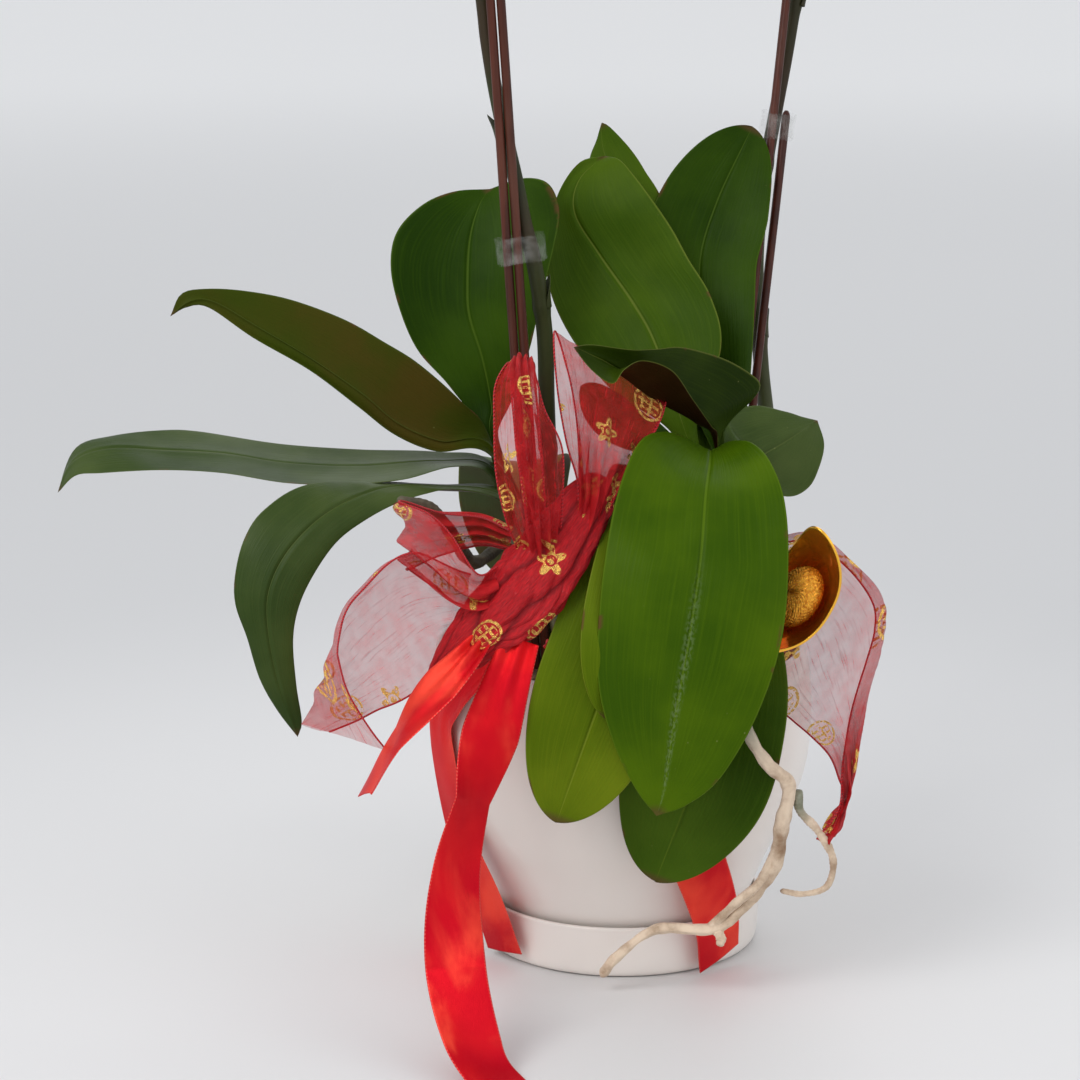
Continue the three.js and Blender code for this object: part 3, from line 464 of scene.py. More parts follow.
def bark_chips():
    """Each chip is a block of 3 rings of 6 corners, stretched to a chip's length, width and height,
    roughened corner by corner, turned about its own three axes and laid on the bed."""
    radius = (bark_high[0] - 6) * np.sqrt(rng.random(CHIPS))
    turn = rng.random(CHIPS) * 2 * np.pi
    size = np.c_[rng.uniform(4, 9, CHIPS), rng.uniform(3, 6, CHIPS), rng.uniform(1.4, 3.2, CHIPS)]
    ring = np.linspace(0, 2 * np.pi, 6, endpoint=False)
    block = np.stack([np.stack([np.cos(ring) * k, np.sin(ring) * k, np.full(6, h)], -1)
                      for k, h in [(0.78, -1), (1.0, 0), (0.74, 1)]])
    corners = block[None] * size[:, None, None] * (1 + rng.normal(0, 0.13, (CHIPS, 3, 6, 1)))
    spin, tilt = rng.random(CHIPS) * 2 * np.pi, rng.normal(0, 0.33, (2, CHIPS))
    x, y, z = corners[..., 0], corners[..., 1], corners[..., 2]
    c, s = np.cos(spin)[:, None, None], np.sin(spin)[:, None, None]
    tilted = z + x * tilt[0][:, None, None] + y * tilt[1][:, None, None]
    lay = np.stack([x * c - y * s, x * s + y * c, tilted], -1)
    middle = np.stack([radius * np.cos(turn), radius * np.sin(turn)], -1)
    lift = bark_high[2] - 2.6 + rng.uniform(-0.6, 2.6, CHIPS) - WALL_DROP * (radius / bark_high[0]) ** 6
    lay += np.c_[middle, lift][:, None, None]
    tone = rng.random(CHIPS)
    return [skin(lay[k], tone=tone[k]) for k in range(CHIPS)]


bark = Recipe("fir_bark", Roughness=0.86)
grain = bark.noise(110.0, bark.stretched((1.0, 1.0, 3.0)), detail=6.0, rough=0.65)
tone = bark.value("tone")
wood = bark.mix(tone, (0.075, 0.036, 0.018), (0.27, 0.15, 0.075))
wood = bark.mix(bark.ease(grain, 0.35, 0.75), wood, (0.035, 0.018, 0.010))
wood = bark.mix(bark.ease(bark.noise(34.0), 0.62, 0.74), wood, (0.10, 0.105, 0.035))
bark.set(Base_Color=wood, Normal=bark.bump(grain, 0.0012, 0.8))
piece("potting_bark_chips", together([bark_bed()] + bark_chips()), bark.material, "bark", "potting_bark")

# %% [markdown]
# ## Leaves
# An orchid leaf is a thick waxy tongue. Its base wraps the stem like a channel, it opens out from the
# midrib, and it bends under its own weight. Each one is a strip along its midrib, given a thickness
# that is full at the rib and rolls to nothing at the margin, with a groove above and a keel below.

# %% Lay out the leaves along a midrib
LAYOUT_RIM = 140.0
CROWNS = {"left": np.array([-44.0, 2.0]), "right": np.array([46.0, -6.0])}
rim = pot_high[2]


def placed(points):
    """The layout's points at this pot's height: stretched below the rim and lifted above it."""
    points = np.array(points, float)
    z = points[..., 2]
    points[..., 2] = np.where(z < LAYOUT_RIM, z * rim / LAYOUT_RIM, z + rim - LAYOUT_RIM)
    return points


# Each leaf: crown, midrib, the way its upper side faces, half-width, the fold of its halves in
# degrees from base to tip, the share where it is widest, its finish, and its ripple in mm.
LEAVES = {
    "leaf_back_right": (
        "right", [[48, 14, 226], [41, 38, 268], [37, 56, 303], [45, 67, 332], [62, 76, 367]],
        [[0, -0.8, 0.6], [-0.1, -0.95, 0.4], [0, -0.9, 0.5]], 27, [30, 10, 8], 0.6, "deep", 0.6),
    "leaf_hidden_center": (
        "right", [[34, -8, 222], [16, -16, 233], [-5, -23, 246], [-19, -26, 262]],
        [[-0.2, -0.3, 1], [0.2, -0.5, 0.8], [0.2, -0.7, 0.6]], 15, [20, 10, 6], 0.5, "deep", 0.4),
    "leaf_rear_left": (
        "left", [[-43, 19, 205], [-46, 52, 211], [-49, 84, 202], [-51, 108, 174], [-51, 116, 140]],
        [[0, 0, 1], [0, 0.2, 1], [0, 0.8, 0.6], [0, 1, 0.1]], 27, [24, 10, 8, 6], 0.5, "mid", 0.8),
    "leaf_rear_right": (
        "right", [[38, 12, 203], [30, 46, 207], [24, 82, 198], [20, 108, 170], [18, 118, 132]],
        [[0, 0, 1], [0, 0.2, 1], [0, 0.8, 0.6], [0, 1, 0.1]], 28, [24, 10, 8, 6], 0.5, "deep", 0.8),
    "leaf_front_yellow": (
        "right", [[43, -19, 219], [30, -58, 224], [12, -98, 205], [-1, -119, 168], [-8, -121, 136]],
        [[0, 0, 1], [0, -0.2, 1], [0, -0.9, 0.6], [0, -1, 0]], 23, [12, 8, 6, 6], 0.55, "young", 0.5),
    "leaf_front_left": (
        "right", [[39, -19, 211], [25, -57, 212], [9, -95, 192], [-9, -115, 150], [-30, -117, 90]],
        [[0, 0, 1], [0, -0.2, 1], [0, -0.9, 0.6], [-0.1, -1, 0]], 30, [12, 8, 6, 6], 0.6, "young", 0.8),
    "leaf_front_lower": (
        "right", [[47, -20, 195], [42, -50, 187], [39, -82, 157], [32, -97, 112], [13, -94, 56]],
        [[0, 0, 1], [0.3, -0.2, 1], [0, -0.9, 0.5], [0, -1, 0]], 33, [12, 8, 4, 4], 0.6, "low", 0.8),
}
print(len(LEAVES), "leaves along a midrib")

# %% Lay out the leaves that show most
# Each is given by three lines instead: one edge, the rib and the other edge.
FOLDED_LEAVES = {
    "leaf_left_upper": ("left", "olive", [
        [[-60, 6, 234], [-73, 0, 252], [-91, -4, 269], [-106, -7, 279], [-124, -10, 290], [-147, -13, 299],
         [-168, -15, 303], [-185, -18, 304], [-195, -20, 302], [-200, -20, 292]],
        [[-60, 2, 229], [-82, -5, 233], [-101, -9, 242], [-117, -12, 256], [-139, -14, 272],
         [-163, -16, 287], [-181, -18, 298], [-191, -20, 299], [-200, -20, 292]],
        [[-60, -4, 227], [-83, -14, 231], [-101, -20, 240], [-117, -24, 253], [-138, -24, 269],
         [-163, -22, 283], [-183, -20, 296], [-193, -20, 296], [-200, -20, 292]],
    ]),
    "leaf_left_middle": ("left", "grey", [
        [[-59, -8, 217], [-74, -22, 225], [-97, -32, 221], [-122, -36, 220], [-149, -38, 221],
         [-177, -38, 225], [-204, -36, 226], [-231, -32, 224], [-243, -28, 222], [-252, -22, 213]],
        [[-59, 2, 219], [-82, -2, 223], [-118, -8, 222], [-151, -11, 224], [-179, -14, 229],
         [-207, -16, 231], [-229, -18, 232], [-244, -20, 227], [-252, -22, 213]],
        [[-59, 10, 221], [-84, 14, 225], [-119, 12, 226], [-153, 10, 229], [-191, 6, 236], [-209, 2, 237],
         [-230, -4, 235], [-245, -12, 231], [-252, -22, 213]],
    ]),
    "leaf_left_lower": ("left", "grey", [
        [[-55, -12, 207], [-74, -30, 216], [-87, -44, 217], [-101, -52, 214], [-114, -58, 208],
         [-125, -62, 200], [-134, -66, 188], [-141, -70, 174], [-144, -72, 159], [-143, -72, 138],
         [-141, -70, 121], [-143, -70, 114]],
        [[-55, -8, 209], [-81, -24, 216], [-107, -40, 218], [-128, -56, 212], [-144, -65, 199],
         [-153, -71, 184], [-155, -74, 168], [-151, -74, 141], [-143, -70, 114]],
        [[-55, -2, 211], [-82, -12, 215], [-112, -28, 219], [-140, -44, 221], [-157, -57, 213],
         [-165, -64, 202], [-169, -68, 187], [-169, -71, 174], [-164, -72, 159], [-159, -72, 141],
         [-152, -71, 127], [-143, -70, 114]],
    ]),
    "leaf_back_left": ("left", "deep", [
        [[-62, 14, 231], [-78, 20, 254], [-93, 26, 270], [-101, 30, 288], [-105, 34, 308], [-102, 38, 324],
         [-90, 42, 336], [-76, 46, 341], [-60, 48, 341]],
        [[-59, 12, 231], [-59, 18, 245], [-63, 22, 266], [-69, 28, 285], [-70, 32, 299], [-69, 38, 319],
         [-65, 44, 333], [-60, 48, 341]],
        [[-56, 14, 231], [-50, 14, 249], [-42, 10, 273], [-37, 10, 295], [-30, 16, 322], [-28, 26, 336],
         [-33, 38, 346], [-45, 45, 347], [-60, 48, 341]],
    ]),
    "leaf_back_center": ("right", "mid", [
        [[25, 5, 232], [-3, 12, 252], [-21, 24, 273], [-31, 32, 292], [-34, 38, 309], [-32, 44, 325],
         [-27, 50, 341], [-18, 56, 353], [-7, 60, 355]],
        [[29, 3, 235], [16, 20, 272], [6, 30, 290], [-10, 42, 312], [-21, 48, 330], [-19, 54, 344],
         [-7, 60, 355]],
        [[34, 5, 236], [45, 14, 272], [41, 22, 294], [31, 30, 311], [24, 36, 324], [16, 42, 336],
         [8, 48, 346], [0, 54, 354], [-7, 60, 355]],
    ]),
    "leaf_back_tip": ("right", "mid", [
        [[12, 50, 294], [-7, 70, 329], [-14, 80, 348], [-10, 85, 361], [-8, 88, 368]],
        [[16, 48, 295], [2, 68, 334], [-6, 78, 352], [-8, 84, 361], [-8, 88, 368]],
        [[22, 48, 295], [21, 66, 330], [12, 74, 347], [5, 80, 357], [-4, 87, 366], [-8, 88, 368]],
    ]),
    "leaf_curled": ("right", "maroon", [
        [[42, -19, 235], [39, -33, 246], [30, -52, 262], [20, -70, 277], [7, -82, 283], [-1, -89, 280],
         [-6, -92, 274], [-15, -93, 280], [-23, -94, 290]],
        [[42, -17, 235], [32, -32, 248], [13, -54, 262], [0, -70, 274], [-9, -79, 281], [-17, -87, 286],
         [-23, -94, 290]],
        [[45, -16, 239], [48, -13, 245], [58, -10, 253], [62, -11, 260], [58, -16, 266], [44, -30, 276],
         [26, -50, 284], [13, -64, 285], [1, -76, 286], [-15, -88, 290], [-23, -94, 290]],
    ]),
    "leaf_front": ("right", "front", [
        [[43, -22, 230], [44, -32, 237], [49, -44, 241], [55, -60, 243], [61, -78, 239], [66, -96, 226],
         [67, -110, 203], [64, -120, 171], [54, -126, 140], [39, -128, 113], [25, -128, 101],
         [12, -127, 96]],
        [[40, -20, 226], [38, -38, 235], [36, -66, 235], [33, -92, 227], [30, -112, 203], [25, -124, 172],
         [19, -128, 138], [15, -128, 108], [12, -127, 96]],
        [[36, -22, 230], [33, -32, 237], [26, -44, 243], [16, -58, 248], [6, -74, 247], [-2, -92, 235],
         [-8, -106, 215], [-12, -116, 187], [-13, -122, 154], [-7, -126, 129], [3, -128, 108],
         [12, -127, 96]],
    ]),
    "leaf_right": ("right", "grey", [
        [[47, 10, 239], [60, 20, 245], [75, 18, 243], [83, 14, 241], [89, 10, 240]],
        [[52, -6, 229], [59, 0, 224], [69, 4, 228], [80, 8, 234], [89, 10, 240]],
        [[50, -14, 222], [61, -16, 213], [75, -14, 210], [84, -9, 213], [89, -3, 220], [92, 4, 230],
         [89, 10, 240]],
    ]),
}
print(len(FOLDED_LEAVES), "leaves between two edges")

# %% Shape a leaf's two sides
BASE_HALF = 8.0
ACROSS = 64
BLADE_ROWS = 92
SHEATH_ROWS = 16
SHEATH_SHARE = 0.22
SHEATH_FOLD = 80


def lens_section(count):
    """Shares across a strip, from -1 to 1 on top and back below, closer together at the middle and
    at the edges: w less 0.6 sin(2 pi w) / 2 pi. Also +1 on top, -1 below, and 0 at the two edges."""
    w = np.linspace(-1, 1, count + 1)
    u = w - 0.6 * np.sin(2 * np.pi * w) / (2 * np.pi)
    return np.r_[u, u[-2:0:-1]], np.r_[0, np.ones(count - 1), 0, -np.ones(count - 1)]


def surface_normals(grid):
    """Across a grid of places, the unit cross product of its two directions."""
    return unit(np.cross(np.gradient(grid, axis=1), np.gradient(grid, axis=0)))


def thickened(grid, half_thickness, u, side):
    """A closed body round a strip: every point moves off the middle sheet along its normal, by half
    the thickness there, up on the top side and down on the lower one."""
    count = (grid.shape[1] + 2) // 2
    normal = surface_normals(grid[:, :count])
    normal = np.concatenate([normal, normal[:, -2:0:-1]], 1)
    return grid + normal * (half_thickness * side)[..., None]


def leaf_skin(grid, width, s, u, face):
    """The blade's two sides about its middle sheet: thick at the rib, with a groove above and a keel
    below, and rolled to nothing at the edge."""
    off_rib = u * width[:, None]
    thick = (0.5 + 0.6 * np.exp(-(u / 0.22) ** 2)) * np.sqrt(1 - np.abs(u) ** 6) * np.ones_like(off_rib)
    thick = thick * np.clip((1.02 - s[:, None]) / 0.06, 0.25, 1)
    groove = np.exp(-(off_rib / 1.0) ** 2) * np.clip((1 - s[:, None]) / 0.15, 0, 1)
    thick = thick + np.where(face > 0, -0.75, 0.55) * groove
    rings = thickened(grid, thick, u, face)
    return skin(rings, along=s[:, None], across=u[None], under=np.where(face < 0, 1.0, 0.0)[None])


print("a leaf's section has", len(lens_section(ACROSS)[0]), "points")


# %% Grow a blade along its midrib
def leaf_blade(crown, midrib, up, half, fold, widest, ripple):
    """The width rises as a quarter sine to the widest place and falls as (1 - q^2.6)^0.6. Below the
    blade a sheath runs down to the stem, folding up to a channel."""
    midrib = placed(midrib)
    t = np.linspace(0, 1, BLADE_ROWS)
    s = 1 - (1 - t) ** 1.45
    fine, directions = run(midrib, 600)
    shares = np.linspace(0, 1, 600)
    spine = np.stack([np.interp(s, shares, fine[:, k]) for k in range(3)], 1)
    lean = unit(np.array([*(midrib[0, :2] - CROWNS[crown]), 0.0]))
    root = np.array([*CROWNS[crown], 0.0]) + 3.5 * lean
    root[2] = min(midrib[0, 2] - 24, 186)
    bend = midrib[0] - directions[0] * 0.5 * np.linalg.norm(midrib[0] - root)
    h = np.linspace(0, 1, SHEATH_ROWS, endpoint=False)[:, None]
    spine = np.vstack([root * (1 - h) ** 2 + 2 * bend * h * (1 - h) + midrib[0] * h**2, spine])
    q = np.clip((s - widest) / (1 - widest), 0, 1)
    rise = BASE_HALF + (half - BASE_HALF) * np.sin(0.5 * np.pi * np.minimum(s / widest, 1)) ** 0.95
    width = np.where(s <= widest, rise, np.maximum(half * (1 - q**2.6) ** 0.6, 0.15))
    wobble = 1 + 0.012 * np.sin(9 * s + half) + 0.008 * np.sin(23 * s + 2 * half)
    width = np.r_[np.linspace(10, BASE_HALF, SHEATH_ROWS, endpoint=False), width * wobble]
    s = np.r_[-SHEATH_SHARE * (1 - h[:, 0]), s]
    channel = along([SHEATH_FOLD, fold[0]], 1 + s / SHEATH_SHARE)
    angle = np.radians(np.where(s < 0, channel, along(fold, s)))
    side, normal = frames(unit(np.gradient(spine, axis=0)), along(up, np.clip(s, 0, 1)))
    u, face = lens_section(ACROSS)
    crease = np.sqrt(u**2 + 0.002) - np.sqrt(0.002)
    wave = ripple * np.abs(u) ** 1.6 * np.sin(2 * np.pi * 2.3 * s[:, None] + half + 1.9 * np.sign(u))
    wave = wave * np.clip(s, 0, 1)[:, None] ** 0.5
    reach = width[:, None] * u * np.cos(angle)[:, None]
    lift = width[:, None] * crease * np.sin(angle)[:, None] + wave
    grid = spine[:, None] + side[:, None] * reach[..., None] + normal[:, None] * lift[..., None]
    return leaf_skin(grid, width, s, u, face)


print("a sheath takes", SHEATH_ROWS, "rows and a blade", BLADE_ROWS)

# %% Grow a blade between its edges
EDGE_RIPPLE = 0.5


def folded_leaf(crown, lines):
    """Across each row the sheet is a rounded hinge: the rib, plus u times half the way from near edge
    to far edge, plus a smoothed |u| times the way from the rib to the middle of the two edges."""
    root = np.array([*CROWNS[crown], 188.0])
    narrow = np.array([[-7.0, -3.0, 0.0], [0.0, 0.0, 0.0], [7.0, 3.0, 0.0]])
    near, rib, far = (
        run(np.vstack([root + step, placed(line)]), BLADE_ROWS)[0] for line, step in zip(lines, narrow)
    )
    u, face = lens_section(ACROSS)
    hinge = np.sqrt(u**2 + 0.004) - np.sqrt(0.004)
    across, fold = (far - near) / 2, (far + near) / 2 - rib
    grid = rib[:, None] + across[:, None] * u[:, None] + fold[:, None] * hinge[:, None]
    belly = np.sin(np.pi * np.abs(u)) * 0.07 * np.linalg.norm(across, axis=1)[:, None]
    s = np.linspace(0, 1, BLADE_ROWS)[:, None]
    wave = EDGE_RIPPLE * np.abs(u) ** 1.6 * np.sin(14 * s + 1.9 * np.sign(u)) * s**0.5 * (1 - s**6)
    grid = grid - unit(fold + 1e-6)[:, None] * belly[..., None]
    grid = grid + surface_normals(grid[:, :ACROSS + 1])[:, ACROSS // 2, None] * wave[..., None]
    return leaf_skin(grid, np.linalg.norm(across, axis=1), np.linspace(0, 1, BLADE_ROWS), u, face)


print("a leaf's edges ripple by", EDGE_RIPPLE, "mm")

# %% [markdown]
# ## The leaf's finish
# Wax gives a leaf a broad soft gloss over a green that is never one green: lengthwise veins, a pale
# rib, a yellowed margin with a brown nick here and there, and a maroon flush on the underside. All of
# it follows the leaf, so the finish reads the shares along and across that the blade carries.

# %% Mix the leaf finishes
LEAF_COLOURS = {
    # deep green, fresh green, rib, underside, flush of the underside
    "deep": (
        (0.012, 0.034, 0.001), (0.032, 0.072, 0.002), (0.075, 0.13, 0.012),
        (0.05, 0.06, 0.02), (0.06, 0.03, 0.012),
    ),
    "mid": (
        (0.034, 0.074, 0.002), (0.070, 0.125, 0.006), (0.16, 0.20, 0.03),
        (0.06, 0.08, 0.03), (0.06, 0.035, 0.015),
    ),
    "front": (
        (0.030, 0.072, 0.001), (0.068, 0.128, 0.002), (0.10, 0.17, 0.008),
        (0.07, 0.09, 0.02), (0.07, 0.05, 0.02),
    ),
    "young": (
        (0.072, 0.118, 0.002), (0.135, 0.185, 0.006), (0.18, 0.22, 0.02),
        (0.10, 0.12, 0.03), (0.10, 0.09, 0.03),
    ),
    "low": (
        (0.026, 0.060, 0.002), (0.055, 0.105, 0.006), (0.10, 0.15, 0.012),
        (0.07, 0.08, 0.02), (0.07, 0.05, 0.02),
    ),
    "olive": (
        (0.020, 0.042, 0.006), (0.045, 0.080, 0.014), (0.07, 0.10, 0.02),
        (0.036, 0.052, 0.003), (0.062, 0.046, 0.006),
    ),
    "grey": (
        (0.022, 0.044, 0.006), (0.062, 0.092, 0.020), (0.09, 0.12, 0.03),
        (0.05, 0.06, 0.02), (0.065, 0.04, 0.014),
    ),
    # Partly painted shade: the underside is a real maroon, made far darker than the other leaves' undersides
    # for the shade inside the curled leaf.
    "maroon": (
        (0.012, 0.026, 0.001), (0.036, 0.062, 0.003), (0.14, 0.16, 0.03),
        (0.020, 0.007, 0.002), (0.034, 0.016, 0.004),
    ),
}
GREY_GLOSS = 0.10
LEAF_GLOSS = 0.035
NICK_BROWN = (0.10, 0.045, 0.018)
TIP_BROWN = (0.09, 0.045, 0.02)


def leaf_finish(name, deep, fresh, rib, below, flush):
    """Greens in clouds and streaks, a paler rib and margin, brown nicks and tip, and yellow flecks.
    The large front leaf also has a dry pucker beside its rib."""
    gloss = GREY_GLOSS if name == "grey" else LEAF_GLOSS
    r = Recipe(f"leaf_{name}", Coat_Weight=0.3 * gloss, Coat_Roughness=0.3, Specular_IOR_Level=gloss)
    across, lengthwise, under = r.value("across"), r.value("along"), r.value("under")
    off = r.sums("ABSOLUTE", across)
    cloud = r.noise(16.0, detail=4.0)
    drift = r.woven(r.times(across, 34.0), r.times(lengthwise, 5.0), 4.0)
    fine = r.woven(r.times(across, 120.0), r.times(lengthwise, 3.0), 2.0)
    top = r.mix(r.ease(cloud, 0.32, 0.72), deep, fresh)
    top = r.mix(r.ease(drift, 0.42, 0.80, 0.0, 0.35), top, fresh)
    top = r.mix(r.ease(fine, 0.5, 0.8, 0.0, 0.12), top, deep)
    top = r.mix(r.ease(off, 0.006, 0.022, 0.55, 0.0), top, rib)
    low = r.mix(r.ease(cloud, 0.4, 0.7), below, flush)
    low = r.mix(r.ease(off, 0.0, 0.05, 0.35, 0.0), low, rib)
    wax = r.mix(under, top, low)
    wax = r.mix(r.ease(off, 0.972, 0.992, 0.0, 0.55), wax, rib)
    nick = r.times(r.ease(off, 0.93, 0.985), r.ease(r.noise(70.0, detail=4.0), 0.60, 0.68))
    wax = r.mix(r.times(nick, 0.8), wax, NICK_BROWN)
    fleck = r.times(r.ease(r.cells(130.0), 0.0, 0.07, 1.0, 0.0), r.ease(r.noise(9.0), 0.52, 0.62))
    wax = r.mix(r.times(fleck, 0.55), wax, (0.30, 0.30, 0.12))
    if name == "front":
        near_rib = r.times(r.ease(off, 0.01, 0.09, 1.0, 0.0), r.ease(lengthwise, 0.55, 0.72))
        stitch = r.woven(r.times(across, 30.0), r.times(lengthwise, 130.0), 2.0)
        pucker = r.times(near_rib, r.ease(stitch, 0.42, 0.62))
        wax = r.mix(r.times(pucker, 0.45), wax, (0.16, 0.22, 0.10))
        drift = r.sums("ADD", drift, r.times(pucker, 0.6))
    wax = r.mix(r.ease(lengthwise, 0.975, 0.995, 0.0, 0.7), wax, TIP_BROWN)
    rough = r.ease(r.noise(40.0, detail=4.0), 0.3, 0.7, 0.34, 0.46)
    ribs = r.bump(drift, 0.0008, 0.28)
    pores = r.bump(r.noise(1100.0, detail=1.0), 0.00005, 0.35, r.bump(fine, 0.0002, 0.3, ribs))
    return r.set(Base_Color=wax, Roughness=rough, Normal=pores)


leaf_finishes = {name: leaf_finish(name, *colours) for name, colours in LEAF_COLOURS.items()}
print("leaf finishes:", ", ".join(leaf_finishes))

# %% Dress the plants with leaves
YOUNG = ("leaf_front_yellow", "leaf_front_left", "leaf_front_lower")
for name, (*shape, finish, ripple) in LEAVES.items():
    slot = "leaf_young" if name in YOUNG else "leaf"
    piece(f"{name}_blade", leaf_blade(*shape, ripple), leaf_finishes[finish], slot, name)
for name, (crown_name, finish, lines) in FOLDED_LEAVES.items():
    piece(f"{name}_blade", folded_leaf(crown_name, lines), leaf_finishes[finish], "leaf", name)

# %% [markdown]
# ## Crowns
# Between the bark and the leaves is a short woody stem, ringed by the scars of old leaves, with the
# stubs of their sheaths and thick roots that dive into the bark. The roots are tubes in an even fan.

# %% Shape a crown
CROWN_TOP = 204.0
ROOTS_PER_CROWN = 7


def crown(middle, seed):
    """A ringed stem (radius up and down by a sine of the height), and seven roots curving down."""
    draw = np.random.default_rng(seed)
    height = np.linspace(bark_high[2] - 1, CROWN_TOP, 60)
    share = np.linspace(0, 1, 60)
    radius = 10.2 - 3.4 * share + 0.7 * np.abs(np.sin(height * 0.55))
    points, faces, _ = lathe(np.c_[np.r_[0.01, radius, 0.01], np.r_[height[0], height, height[-1] + 2]], 40)
    plain = np.zeros(len(points))
    parts = [(points + [*middle, 0.0], faces, {"along": plain, "around": plain})]
    for turn in np.linspace(0, 2 * np.pi, ROOTS_PER_CROWN + 1)[:-1] + draw.random():
        way = np.array([np.cos(turn), np.sin(turn), 0.0])
        rise = draw.uniform(12, 34)
        start = np.array([*middle, bark_high[2] + rise])
        end = start + way * draw.uniform(22, 30)
        end[2] = bark_high[2] - 6
        middle_way = start + way * draw.uniform(15, 20) + [0, 0, draw.uniform(0, 5)]
        parts.append(tube([start + way * 5, middle_way, end], [3.0, 2.7, 2.4], 30, 14))
    return together(parts)


print("a crown rises", CROWN_TOP - bark_high[2], "mm out of the bark")

# %% Mix the stem finishes and set the crowns
stem_skin = Recipe("green_stem", Roughness=0.5, Specular_IOR_Level=0.2, Coat_Weight=0.04, Coat_Roughness=0.3)
streak = stem_skin.noise(60.0, stem_skin.stretched((1.0, 1.0, 0.12)), detail=5.0)
patch = stem_skin.noise(18.0, detail=3.0)
stem_colour = stem_skin.mix(stem_skin.ease(streak, 0.35, 0.7), (0.018, 0.021, 0.007), (0.050, 0.060, 0.018))
stem_colour = stem_skin.mix(stem_skin.ease(patch, 0.5, 0.72, 0.0, 0.6), stem_colour, (0.045, 0.022, 0.012))
stem_skin.set(Base_Color=stem_colour, Normal=stem_skin.bump(streak, 0.0004, 0.4))

crown_skin = Recipe("crown_bark", Roughness=0.6)
ring_noise = crown_skin.noise(40.0, crown_skin.stretched((0.6, 0.6, 3.0)), detail=5.0)
ringed = crown_skin.ease(ring_noise, 0.35, 0.7)
crown_colour = crown_skin.mix(ringed, (0.045, 0.050, 0.018), (0.15, 0.15, 0.07))
scarred = crown_skin.ease(crown_skin.noise(22.0), 0.55, 0.7, 0.0, 0.8)
crown_colour = crown_skin.mix(scarred, crown_colour, (0.16, 0.10, 0.05))
crown_skin.set(Base_Color=crown_colour, Normal=crown_skin.bump(ring_noise, 0.0012, 0.6))
for seed, (side_name, middle) in enumerate(CROWNS.items()):
    node = f"crown_{side_name}"
    piece(f"{node}_stem", crown(middle, seed + 3), crown_skin.material, "stem", node)

# %% [markdown]
# ## Flower spikes
# A spike is one stem from the crown to the last bud. It thins as it goes, and every few fingers there
# is a joint with a papery scale round it. The blooms hang from short stalks, left and right in turn.

# %% Lay out the spikes
SPIKES = {
    "left": {
        "stem": [
            [-31, 6, 190], [-33, 3, 225], [-34, 0, 251], [-35, -4, 283], [-39.5, -11, 314],
            [-44, -9, 332], [-48, -8.2, 352], [-55.5, -8, 385], [-60, -8, 411], [-62.5, -8, 432],
        ],
        "arch": [
            [-71, -9, 494], [-86, -12, 546], [-120, -17, 590],
            [-166, -22, 606], [-210, -28, 594], [-238, -32, 566],
        ],
        "facing": [-0.25, -1, 0.1],
    },
    "right": {
        "stem": [
            [53, 12, 190], [66, 36, 206], [70, 58, 225], [68, 80, 255], [66, 93, 300],
            [69, 94, 340], [73, 91, 368], [79, 95, 400], [85, 99, 436],
        ],
        "arch": [
            [94, 92, 494], [109, 78, 546], [140, 56, 590],
            [180, 34, 604], [218, 18, 592], [242, 8, 566],
        ],
        "facing": [0.2, -1, 0.1],
    },
}
BLOOM_SHARES = [0.06, 0.19, 0.32, 0.45, 0.58, 0.71, 0.84]
BUD_SHARES = [0.92, 0.995]
STALK_LENGTH = 28.0
SPIKE_RADIUS = 3.8
TIP_RADIUS = 1.3
JOINT_SHARES = [0.07, 0.19, 0.33, 0.46]
SPIKE_ROWS = 260
BUD_RADIUS = 6.0


def flower_places(spike, shares, length):
    """Along the arch: where the stalk leaves, the way it leans (ahead, and left or right in turn),
    and the flower's middle at the stalk's end."""
    places, directions = run(placed(spike["arch"]), 801)
    facing = unit(np.array(spike["facing"], float))
    found = []
    for k, share in enumerate(shares):
        at = int(round(share * 800))
        across = unit(np.cross(directions[at], facing))
        lean = facing * (1.15 if k % 2 else 0.65) + across * (0.85 if k % 2 else -0.85)
        found.append((places[at], unit(lean), places[at] + lean * length))
    return found


print(len(BLOOM_SHARES), "blooms and", len(BUD_SHARES), "buds on each spike")


# %% Raise the spikes
def bract(place, direction, way, size):
    """A scale that hugs the stem at a joint: a small tongue, curved round the stem and pointed."""
    s, (u, face) = np.linspace(0, 1, 14)[:, None], lens_section(12)
    side = unit(np.cross(direction, way))
    angle = u * 1.25 * (1 - s**2)
    out = (SPIKE_RADIUS + 0.5) * np.ones_like(angle) + 1.6 * s**2
    grid = place + direction * (size * s)[..., None] + way * (out * np.cos(angle))[..., None]
    grid = grid + side * (out * np.sin(angle))[..., None]
    return skin(grid + way * (0.35 * face * (1 - 0.7 * s))[..., None], along=s, around=np.abs(u)[None])


def bud(middle, lean, size):
    """An egg-shaped bud with three soft ribs and a blunt beak."""
    t = np.linspace(0.02, np.pi - 0.02, 24)[:, None]
    turn = np.linspace(0, 2 * np.pi, 30, endpoint=False)[None]
    x = unit(np.cross([0.0, 0.0, 1.0], lean))
    y = np.cross(lean, x)
    radius = size * np.sin(t) ** 0.85 * (1 + 0.07 * np.cos(3 * turn)) * (1 - 0.16 * np.cos(t))
    rings = middle + lean * (-1.18 * size * np.cos(t) * np.ones_like(turn))[..., None]
    rings = rings + x * (radius * np.cos(turn))[..., None] + y * (radius * np.sin(turn))[..., None]
    return skin(rings, along=t / np.pi, around=np.ones_like(turn))


